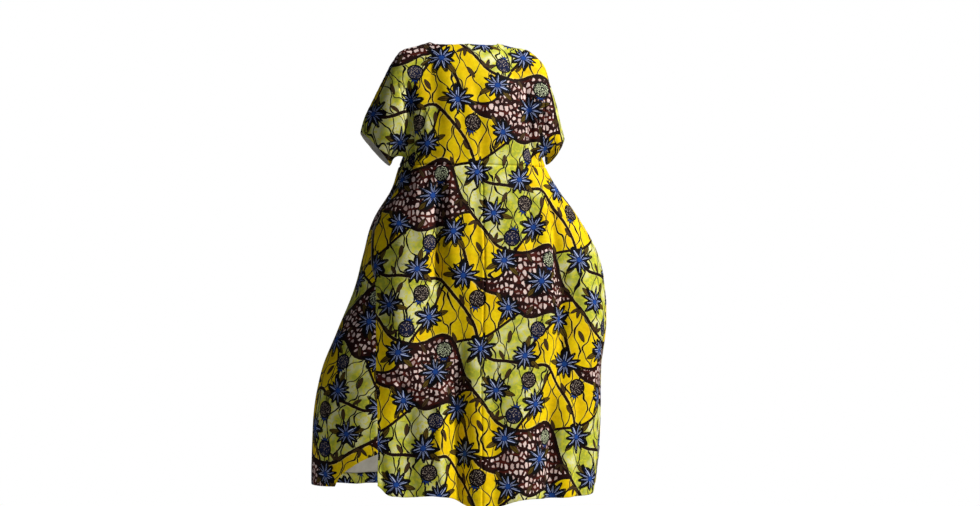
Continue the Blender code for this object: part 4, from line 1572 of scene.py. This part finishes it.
@dataclass(frozen=True)
class Border:
    """A line along which cloth is sewn or turned: how far the cloth sinks there, how wide
    that valley is, and how much the stitches pucker it."""

    line: np.ndarray
    sink: float = 0.0010
    width: float = 0.0032
    pucker: float = 0.00035

    def depth(self, points: np.ndarray) -> np.ndarray:
        """How far points near the line sink: sink exp(-(d / width)^2), and a pucker whose
        sine runs along the line, with slowly changing pitch, exp(-(d / 10 mm)^2) strong.

        Args:
            points: Points, n by 3.

        Returns:
            Depths in metres, one for each point.
        """
        steps = np.linalg.norm(np.diff(self.line, axis=0), axis=1)
        run = np.concatenate([[0.0], np.cumsum(steps)])
        at = np.linspace(0, run[-1], max(int(run[-1] / 0.0025), 2))
        dense = np.stack([np.interp(at, run, self.line[:, k]) for k in range(3)], axis=1)
        away, place = np.empty(len(points)), np.empty(len(points))
        squares = (dense**2).sum(axis=1)
        for start in range(0, len(points), 4096):
            some = points[start : start + 4096]
            gap = (some**2).sum(axis=1)[:, None] + squares - 2 * some @ dense.T
            nearest = gap.argmin(axis=1)
            away[start : start + 4096] = np.sqrt(np.maximum(gap.min(axis=1), 0))
            place[start : start + 4096] = at[nearest]
        wave = np.sin(2 * math.pi * place / 0.019 + 2.2 * np.sin(place * 31))
        valley = self.sink * np.exp(-((away / self.width) ** 2))
        return valley + self.pucker * wave * np.exp(-((away / 0.010) ** 2))


@dataclass
class ClothPiece:
    """A cut piece of cloth as one mesh, named for the solid that it dresses: points, quads in
    the order that faces out, normals and flat coordinates."""

    node: str
    points: np.ndarray
    quads: np.ndarray
    normals: np.ndarray
    flat: np.ndarray
    thick: float = 0.0006

    def cut_area(self) -> float:
        """Area of the flat piece in square metres, by the shoelace formula on each quad."""
        corner = self.flat[self.quads] * MM
        a, b = corner[:, 2] - corner[:, 0], corner[:, 3] - corner[:, 1]
        return float(np.abs(a[:, 0] * b[:, 1] - a[:, 1] * b[:, 0]).sum() / 2)

    def cut_size(self) -> tuple[float, float]:
        """Width and length of the flat piece in metres."""
        size = np.ptp(self.flat[np.unique(self.quads)], axis=0) * MM
        return float(size[0]), float(size[1])

    def settle(self, out: float, borders: Sequence[Border]) -> None:
        """Moves the points out to the cloth's outer face, less what sinks at its borders.

        Args:
            out: Distance of the outer face from the surface worked out.
            borders: The lines where it is sewn or turned.
        """
        sunk = sum((border.depth(self.points) for border in borders), np.zeros(len(self.points)))
        self.points = self.points + self.normals * (out - sunk)[:, None]

    def make(self, repeat: Repeat, materials: Sequence[bpy.types.Material]) -> bpy.types.Object:
        """Builds the object, with the print's coordinates on its points.

        Args:
            repeat: The print.
            materials: Finish of the right side, and of the wrong side.

        Returns:
            The object, with a Solidify on it.
        """
        used, index = np.unique(self.quads, return_inverse=True)
        corners = index.reshape(self.quads.shape)
        obj = mesh_object(f"{self.node}_cloth", self.points[used], corners, materials)
        for name, vectors in repeat.drawn_on(self.flat[used]).items():
            layer = obj.data.attributes.new(name, "FLOAT_VECTOR", "POINT")
            layer.data.foreach_set("vector", vectors.astype(np.float32).ravel())
        thick = obj.modifiers.new("cloth", "SOLIDIFY")
        thick.thickness = self.thick
        thick.offset = -1.0
        thick.material_offset = len(materials) - 1
        return obj


def mesh_object(
    name: str, points: np.ndarray, faces: np.ndarray, materials: Sequence[bpy.types.Material]
) -> bpy.types.Object:
    """Makes a smooth mesh object at the origin.

    Args:
        name: Its name.
        points: Points, n by 3.
        faces: Corner indices, m by 3 or m by 4.
        materials: Its materials.

    Returns:
        The object, in the scene's collection.
    """
    mesh = bpy.data.meshes.new(name)
    mesh.from_pydata(points.tolist(), [], faces.tolist())
    mesh.shade_smooth()
    for material in materials:
        mesh.materials.append(material)
    obj = bpy.data.objects.new(name, mesh)
    bpy.context.scene.collection.objects.link(obj)
    return obj


class Cut(NamedTuple):
    """Flat size of a piece as it is cut, in metres and square metres, and its hem's piece."""

    width: float
    length: float
    area: float
    hem: str = ""


CUTS = {
    "front_yoke": Cut(0.77, 0.37, 0.202), "front_skirt": Cut(1.26, 0.935, 0.922, "front_hem"),
    "back_yoke": Cut(0.70, 0.38, 0.191), "back_left": Cut(0.315, 0.945, 0.263, "back_hem_left"),
    "back_right": Cut(0.425, 0.93, 0.347, "back_hem_right"), "pocket_left": Cut(0.36, 0.24, 0.075),
    "pocket_right": Cut(0.36, 0.24, 0.075),
}


@dataclass
class Dress:
    """The whole dress: both sides, its cut pieces and its hems."""

    out: float = 0.0013
    hem_in: float = 0.0009
    front_shift: tuple[float, float] = (97.0, 61.0)
    repeat: Repeat = field(default_factory=Repeat)
    back: DressSide = field(init=False)
    front: DressSide = field(init=False)
    flats: dict[Side, Layout] = field(init=False)

    def __post_init__(self) -> None:
        """Works out both sides, sews them, and lays them flat."""
        self.back, self.front = DressSide(Side.BACK), DressSide(Side.FRONT)
        sew(self.back, self.front)
        self.flats = {one.side: Layout(one) for one in (self.back, self.front)}
        self.flats[Side.FRONT].yoke += self.front_shift
        self.flats[Side.FRONT].body += self.front_shift
        log.info("both sides sewn and laid flat")

    def neck(self, one: DressSide) -> slice:
        """Columns of the yoke's first row that lie on the neck opening."""
        shoulder = one.sleeve + int((one.keys <= NECK_KEY).sum())
        return slice(shoulder - 1, one.yoke.shape[1] - shoulder + 1)

    def borders(self, one: DressSide) -> dict[str, Border]:
        """Every line where a side is sewn or turned.

        Args:
            one: The side.

        Returns:
            Borders by name.
        """
        last, neck = one.yoke.shape[1] - 1, self.neck(one)
        left_side = np.concatenate([one.yoke[-1, : one.sleeve + 1], one.body[1:, 0]])
        right_side = np.concatenate([one.yoke[-1, : last - one.sleeve - 1 : -1], one.body[1:, -1]])
        turned = {"sink": 0.0007, "width": 0.0026, "pucker": 0.0003}
        return {
            "left_shoulder": Border(one.yoke[0, : neck.start + 1]),
            "right_shoulder": Border(one.yoke[0, neck.stop - 1 :]),
            "neck": Border(one.yoke[0, neck], **turned), "left_side": Border(left_side),
            "right_side": Border(right_side), "left_cuff": Border(one.yoke[:, 0], **turned),
            "right_cuff": Border(one.yoke[:, -1], **turned), "hem": Border(one.body[-1], **turned),
            "yoke_seam": Border(one.body[one.seam_row], sink=0.0032, width=0.0026),
            "centre": Border(one.body[one.seam_row :, one.centre], sink=0.0032, width=0.0026),
        }

    def piece(self, name: str, one: DressSide, rows: slice, columns: slice, yoke: bool) -> ClothPiece:
        """Cuts a piece out of a side.

        Args:
            name: Its name.
            one: The side.
            rows: Rows of the body in it.
            columns: Columns of the body in it.
            yoke: Whether it has the yoke and sleeves on top.

        Returns:
            The piece, on the surface worked out.
        """
        flat = self.flats[one.side]
        grids = (
            (one.yoke, one.body[rows, columns]), (one.yoke_normals, one.body_normals[rows, columns]),
            (flat.yoke, flat.body[rows, columns]),
        )
        if yoke:
            joined = [join_grids(upper, lower, one.sleeve) for upper, lower in grids]
            quads = joined[0][1]
            points, normals, flats = (part[0] for part in joined)
        else:
            points, normals, flats = (lower.reshape(-1, lower.shape[-1]) for _, lower in grids)
            quads = grid_quads(np.arange(len(points)).reshape(grids[0][1].shape[:2]))
        if one.side is Side.FRONT:
            quads = quads[:, ::-1]
        return ClothPiece(name, points, quads, normals, flats)

    def pieces(self) -> list[ClothPiece]:
        """The printed pieces, settled at their seams.

        Returns:
            Front yoke and skirt, back yoke, and the two back skirt panels.
        """
        back, front = self.back, self.front
        every, seam, centre = slice(None), back.seam_row, back.centre
        around = {one.side: self.borders(one) for one in (back, front)}
        above, below = slice(0, seam + 1), slice(seam, None)
        yoke = (
            "left_shoulder", "right_shoulder", "neck", "left_cuff", "right_cuff", "left_side",
            "right_side", "yoke_seam",
        )
        skirt = ("yoke_seam", "left_side", "right_side", "hem")
        left = ("yoke_seam", "centre", "left_side", "hem")
        right = ("yoke_seam", "centre", "right_side", "hem")
        plan = (
            ("front_yoke", front, above, every, True, yoke),
            ("front_skirt", front, below, every, False, skirt),
            ("back_yoke", back, above, every, True, yoke),
            ("back_left", back, below, slice(0, centre + 1), False, left),
            ("back_right", back, below, slice(centre, None), False, right),
        )
        made = []
        for name, one, down, across, topped, named in plan:
            piece = self.piece(name, one, down, across, topped)
            piece.settle(self.out, [around[one.side][key] for key in named])
            made.append(piece)
        return made

    def hem(self, name: str, one: DressSide, columns: slice) -> ClothPiece:
        """A turned-up hem: the last rows again, inside the panel, with the printed side facing
        in. Its flat coordinates are the panel's mirrored about the fold.

        Args:
            name: Its name.
            one: The side it is on.
            columns: Columns of the body.

        Returns:
            The piece.
        """
        first = one.slit_row + one.fine.slit_rows
        grid = one.body[first:, columns]
        normals = one.body_normals[first:, columns]
        flat = self.flats[one.side].body[first:, columns]
        up = np.linspace(1, 0, len(grid))[:, None]
        inside = self.hem_in * (ease(up * 5) - 0.35 * ease((up - 0.86) * 8)) + 0.0001
        sunk = self.borders(one)["centre"].depth(grid.reshape(-1, 3)).reshape(inside.shape[0], -1)
        inside = inside + (sunk if one.side is Side.BACK else 0.0)
        points = grid - normals * inside[..., None]
        quads = grid_quads(np.arange(grid.shape[0] * grid.shape[1]).reshape(grid.shape[:2]))
        if one.side is Side.BACK:
            quads = quads[:, ::-1]
        mirrored = 2 * flat[-1:] - flat
        spread_out = (points.reshape(-1, 3), quads, -normals.reshape(-1, 3), mirrored.reshape(-1, 2))
        return ClothPiece(name, *spread_out, FOLDED_THICK)

    def hems(self) -> list[ClothPiece]:
        """The turned-up hems of the front and of both back panels."""
        centre, end = self.back.centre, 2
        return [
            self.hem("front_hem", self.front, slice(end, -end)),
            self.hem("back_hem_left", self.back, slice(end, centre)),
            self.hem("back_hem_right", self.back, slice(centre + 1, -end)),
        ]


@dataclass(frozen=True)
class PocketBag:
    """In-seam pocket bag: rings from its mouth in the side seam to its closed end. One layer
    follows the front panel's inner face, and the other starts at the back panel's edge."""

    hand: str
    top: float = -0.455
    low: float = -0.620
    reach: float = 0.15
    drop: float = 0.09
    spread: float = 1.25
    full: float = 0.030
    clear: float = 0.007
    rings: int = 30
    sides: int = 56

    def piece(self, front: DressSide, back: DressSide) -> ClothPiece:
        """Works the bag out beside the two panels.

        Args:
            front: Front of the dress.
            back: Back of the dress.

        Returns:
            The bag, open at its mouth.
        """
        left = self.hand == "left"
        edge = 0 if left else -1
        way = np.linspace(0, 1, self.rings + 1)[:, None]
        turn = np.linspace(0, 2 * math.pi, self.sides, endpoint=False)[None, :]
        shrink = np.sqrt(np.maximum(1 - (way * 0.97) ** 4, 0))
        half = (self.top - self.low) / 2 * 0.94
        height = half * (1 + (self.spread - 1) * ease(way * 2)) * shrink
        z = (self.top + self.low) / 2 - self.drop * ease(way * 1.4) + height * np.cos(turn)
        z = z + 0.0012 * np.sin(5 * turn + 14 * way)
        run = lengths(front.body, 1)
        run = run if left else run[:, -1:] - run
        middle_run = run[front.seam_row + 30]
        columns = np.arange(run.shape[1])
        order = columns if left else columns[::-1]
        column = np.interp(way * self.reach, middle_run[order], columns[order].astype(float))
        column = np.broadcast_to(column, z.shape)
        row = np.interp(-z, -front.body[:, edge, 2], np.arange(len(front.body)))
        outward = between(front.body_normals, row, column)
        nearby = 0.0008 + (self.clear - 0.0008) * ease(way * 4)
        near = between(front.body, row, column) - outward * nearby[..., None]
        full = self.full * (0.35 + 0.65 * shrink)
        far = near - outward * full[..., None]
        back_in = back.body - back.body_normals * 0.0008
        mouth = between(back_in, row, np.full_like(row, 0 if left else back.body.shape[1] - 1))
        far = mouth + (far - mouth) * ease(way * 6)[..., None]
        ripple = 1 + 0.05 * np.sin(9 * way + 3 * turn)
        share = np.clip((1 - np.sin(turn)) / 2 * ripple, 0, 1)
        rings = near + (far - near) * share[..., None]
        index = np.arange(rings.shape[0] * rings.shape[1]).reshape(rings.shape[:2])
        wrapped = np.concatenate([index, index[:, :1]], axis=1)
        k = np.arange(self.sides // 2)
        last = index[-1]
        cap = np.stack([last[k], last[k + 1], last[-(k + 1) % self.sides], last[-k % self.sides]], axis=1)
        quads = grid_quads(wrapped)
        quads = quads if left else quads[:, ::-1]
        cap = cap[1:-1] if left else cap[1:-1, ::-1]
        flat = np.stack([way * 160 + 0 * turn, 0 * way + turn * 60], axis=-1)
        down, along = np.gradient(rings, axis=0), np.gradient(rings, axis=1)
        normals = np.cross(down, along)
        normals /= np.maximum(np.linalg.norm(normals, axis=2, keepdims=True), 1e-9)
        faces = np.concatenate([quads, cap])
        spread_out = (rings.reshape(-1, 3), faces, normals.reshape(-1, 3), flat.reshape(-1, 2))
        return ClothPiece(f"pocket_{self.hand}", *spread_out, FOLDED_THICK)


def between(grid: np.ndarray, row: np.ndarray, column: np.ndarray) -> np.ndarray:
    """Values of a grid at fractional rows and columns, by bilinear mixing.

    Args:
        grid: Values, rows by columns by parts.
        row: Fractional rows.
        column: Fractional columns, in the same shape.

    Returns:
        Values, in the shape of `row` with the parts last.
    """
    r = np.clip(row, 0, grid.shape[0] - 1.001)
    c = np.clip(column, 0, grid.shape[1] - 1.001)
    i, j = r.astype(int), c.astype(int)
    p, q = (r - i)[..., None], (c - j)[..., None]
    upper = grid[i, j] * (1 - q) + grid[i, j + 1] * q
    lower = grid[i + 1, j] * (1 - q) + grid[i + 1, j + 1] * q
    return upper * (1 - p) + lower * p


@dataclass(frozen=True)
class StitchLine:
    """A row of machine stitches: small raised lozenges with gaps between them."""

    pitch: float = 0.0042
    share: float = 0.72
    width: float = 0.0007
    height: float = 0.0005

    def lay(self, paths: Sequence[tuple[np.ndarray, np.ndarray]]) -> tuple[np.ndarray, np.ndarray]:
        """Lays stitches along paths that lie on the cloth.

        Args:
            paths: Pairs of points along a line and the cloth's normals there.

        Returns:
            Points and triangles.
        """
        points = []
        for line, normal in paths:
            run = np.concatenate([[0.0], np.cumsum(np.linalg.norm(np.diff(line, axis=0), axis=1))])
            starts = np.arange(0.4, int(run[-1] / self.pitch) - 0.6) * self.pitch
            half = self.pitch * self.share / 2

            def at(place: np.ndarray, what: np.ndarray) -> np.ndarray:
                """The line's or normals' value at distances along it."""
                return np.stack([np.interp(place, run, what[:, k]) for k in range(3)], axis=1)

            middle = starts + self.pitch / 2
            first, last = at(middle - half, line), at(middle + half, line)
            centre, up = at(middle, line), at(middle, normal)
            up = up / np.linalg.norm(up, axis=1, keepdims=True)
            along = (last - first) / np.linalg.norm(last - first, axis=1, keepdims=True)
            aside = np.cross(up, along) * self.width / 2
            top, bottom = centre + up * self.height, centre - up * 0.0002
            points.append(np.stack([first, last, centre + aside, centre - aside, top, bottom], 1))
        corners = np.concatenate(points)
        faces = np.array(
            [[0, 2, 5], [2, 1, 5], [1, 3, 5], [3, 0, 5], [2, 0, 4], [1, 2, 4], [3, 1, 4], [0, 3, 4]]
        )
        index = np.arange(len(corners))[:, None, None] * 6 + faces[None]
        return corners.reshape(-1, 3), index.reshape(-1, 3)


@dataclass(frozen=True)
class Thread:
    """Where the stitch rows run, and how far in from the edges."""

    hem_up: int = 1
    cuff_in: int = 3
    neck_in: float = 0.005

    def paths(self, dress: Dress) -> dict[tuple[str, str], list[tuple[np.ndarray, np.ndarray]]]:
        """Stitch rows on the outer face, as points and normals.

        Args:
            dress: The dress.

        Returns:
            Paths by node and name.
        """
        lift = dress.out + 0.00005
        found: dict[tuple[str, str], list[tuple[np.ndarray, np.ndarray]]] = {}
        centre = dress.back.centre
        hems = (
            ("back_left", dress.back, slice(1, centre)),
            ("back_right", dress.back, slice(centre + 1, -1)), ("front_skirt", dress.front, slice(1, -1)),
        )
        for node, one, columns in hems:
            row = one.slit_row + one.fine.slit_rows + self.hem_up
            line, up = one.body[row, columns], one.body_normals[row, columns]
            found[node, "hem_stitches"] = [(line + up * lift, up)]
        for node, one in (("back_yoke", dress.back), ("front_yoke", dress.front)):
            cuffs = []
            for column in (self.cuff_in, -1 - self.cuff_in):
                line, up = one.yoke[1:-1, column], one.yoke_normals[1:-1, column]
                cuffs.append((line + up * lift, up))
            found[node, "cuff_stitches"] = cuffs
            columns = dress.neck(one)
            run = lengths(one.yoke[:, columns], 0)
            down = np.array([np.interp(self.neck_in, r, np.arange(len(r))) for r in run.T])
            column = np.arange(columns.start, columns.stop).astype(float)
            line, up = between(one.yoke, down, column), between(one.yoke_normals, down, column)
            found[node, "neck_stitches"] = [(line + up * lift, up)]
        return found


@dataclass(frozen=True)
class Studio:
    """Plain pale studio: soft key from above on the right of the view, pale surroundings."""

    azimuth: float = 170.0
    distance: float = 4.75
    aim: tuple[float, float] = (0.0703, -0.557)
    lens: float = 65.78
    floor_z: float = -1.45
    floor_radius: float = 1.25

    def camera(self) -> None:
        """Places the camera level, square on to the view."""
        turn = math.radians(self.azimuth)
        back = np.array([math.sin(turn), -math.cos(turn), 0.0])
        right = np.array([math.cos(turn), math.sin(turn), 0.0])
        where = back * self.distance + right * self.aim[0] + np.array([0, 0, self.aim[1]])
        data = bpy.data.cameras.new("view")
        data.lens = self.lens
        camera = bpy.data.objects.new("view", data)
        camera.location = where
        camera.rotation_euler = (math.pi / 2, 0.0, turn)
        bpy.context.scene.collection.objects.link(camera)
        bpy.context.scene.camera = camera

    def lamp(self, name: str, at: Sequence[float], size: float, watts: float, tint: str) -> None:
        """Adds a square area lamp aimed at the dress's middle.

        Args:
            name: Its name.
            at: Where it is.
            size: Side in metres.
            watts: Power.
            tint: Colour of its light.
        """
        data = bpy.data.lights.new(name, "AREA")
        data.size, data.energy, data.color = size, watts, linear(tint)[:3]
        lamp = bpy.data.objects.new(name, data)
        lamp.location = at
        way = np.array([0.0, 0.0, -0.6]) - np.array(at)
        flat = math.hypot(way[0], way[1])
        lamp.rotation_euler = (math.atan2(flat, -way[2]), 0.0, math.atan2(way[1], way[0]) - math.pi / 2)
        bpy.context.scene.collection.objects.link(lamp)

    def surroundings(self) -> None:
        """A white backdrop as the camera sees it, and softer light from all round."""
        world = bpy.data.worlds.new("studio")
        world.use_nodes = True
        bpy.context.scene.world = world
        tree = world.node_tree
        plain = tree.nodes["Background"]
        plain.inputs["Color"].default_value = linear("#F4F6FA")
        plain.inputs["Strength"].default_value = 0.11
        seen = tree.nodes.new("ShaderNodeBackground")
        seen.inputs["Color"].default_value = linear("#FFFFFF")
        path, mix = tree.nodes.new("ShaderNodeLightPath"), tree.nodes.new("ShaderNodeMixShader")
        tree.links.new(path.outputs["Is Camera Ray"], mix.inputs[0])
        tree.links.new(plain.outputs[0], mix.inputs[1])
        tree.links.new(seen.outputs[0], mix.inputs[2])
        tree.links.new(mix.outputs[0], tree.nodes["World Output"].inputs[0])

    def floor(self) -> None:
        """A pale round floor below the dress."""
        angle = np.linspace(0, 2 * math.pi, 96, endpoint=False)
        rim = np.stack([np.cos(angle), np.sin(angle), 0 * angle], axis=1) * self.floor_radius
        points = np.concatenate([[[0.0, 0.0, 0.0]], rim]) + np.array([0, 0, self.floor_z])
        index = np.arange(96)
        faces = np.stack([0 * index, index + 1, (index + 1) % 96 + 1], axis=1)
        s = Surface("pale_studio_floor")
        add = s.add
        grain = add("TexNoise", add("TexCoord", out="Object"), None, 3.0, 2.0)
        s.set(Base_Color=add("Mix", grain, "#F0EFEC", "#E8E7E4"), Roughness=0.7, IOR=1.45)
        mesh_object("studio_floor", points, faces, [s.material])

    def light(self) -> None:
        """Sets the view transform and adds the lamps."""
        bpy.context.scene.view_settings.view_transform = "Standard"
        self.lamp("key", (-3.0, 1.9, 2.45), 0.7, 272.0, "#FFFBF4")
        self.lamp("fill", (1.6, 3.6, 0.6), 2.4, 2.0, "#F3F6FF")
        self.lamp("front", (-1.0, -3.4, 1.4), 2.0, 40.0, "#FFFFFF")


def main() -> None:
    """Builds the dress, its finishes and the studio, and reports each piece."""
    logging.basicConfig(level=logging.INFO, format="%(name)s: %(message)s")
    dress = Dress()
    printed = WaxPrintCotton().make()
    wrong = PlainCotton("unprinted_side_of_cotton").make()
    pocketing = PlainCotton("plain_pocket_cotton", "#E4E1D8", "#CFCBC1").make()
    thread = SewingThread("brown_sewing_thread", "#5A4420", "#33220F").make()
    made: dict[str, bpy.types.Object] = {}
    for piece in (*dress.pieces(), *dress.hems()):
        made[piece.node] = piece.make(dress.repeat, (printed, wrong))
        size = (*piece.cut_size(), piece.cut_area())
        log.info("%s: %.3f x %.3f m flat, %.4f m2", piece.node, *size)
    for hand in ("left", "right"):
        bag = PocketBag(hand).piece(dress.front, dress.back)
        made[bag.node] = bag.make(dress.repeat, (pocketing,))
        log.info("%s: a bag of two layers", bag.node)
    for node, obj in made.items():
        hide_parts(node)
        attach(obj, "root")
    sewn: dict[str, list[bpy.types.Object]] = {}
    for (node, name), paths in Thread().paths(dress).items():
        points, faces = StitchLine().lay(paths)
        row = mesh_object(f"{node}_{name}", points, faces, [thread])
        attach(row, "root")
        sewn.setdefault(node, []).append(row)
        log.info("%s: %d stitches", row.name, len(points) // 6)
    for node, cut in CUTS.items():
        extra = [*sewn.get(node, []), *([made[cut.hem]] if cut.hem else [])]
        size = (cut.width, cut.length)
    studio = Studio()
    studio.camera()
    studio.surroundings()
    studio.floor()
    studio.light()


if __name__ == "__main__":
    main()
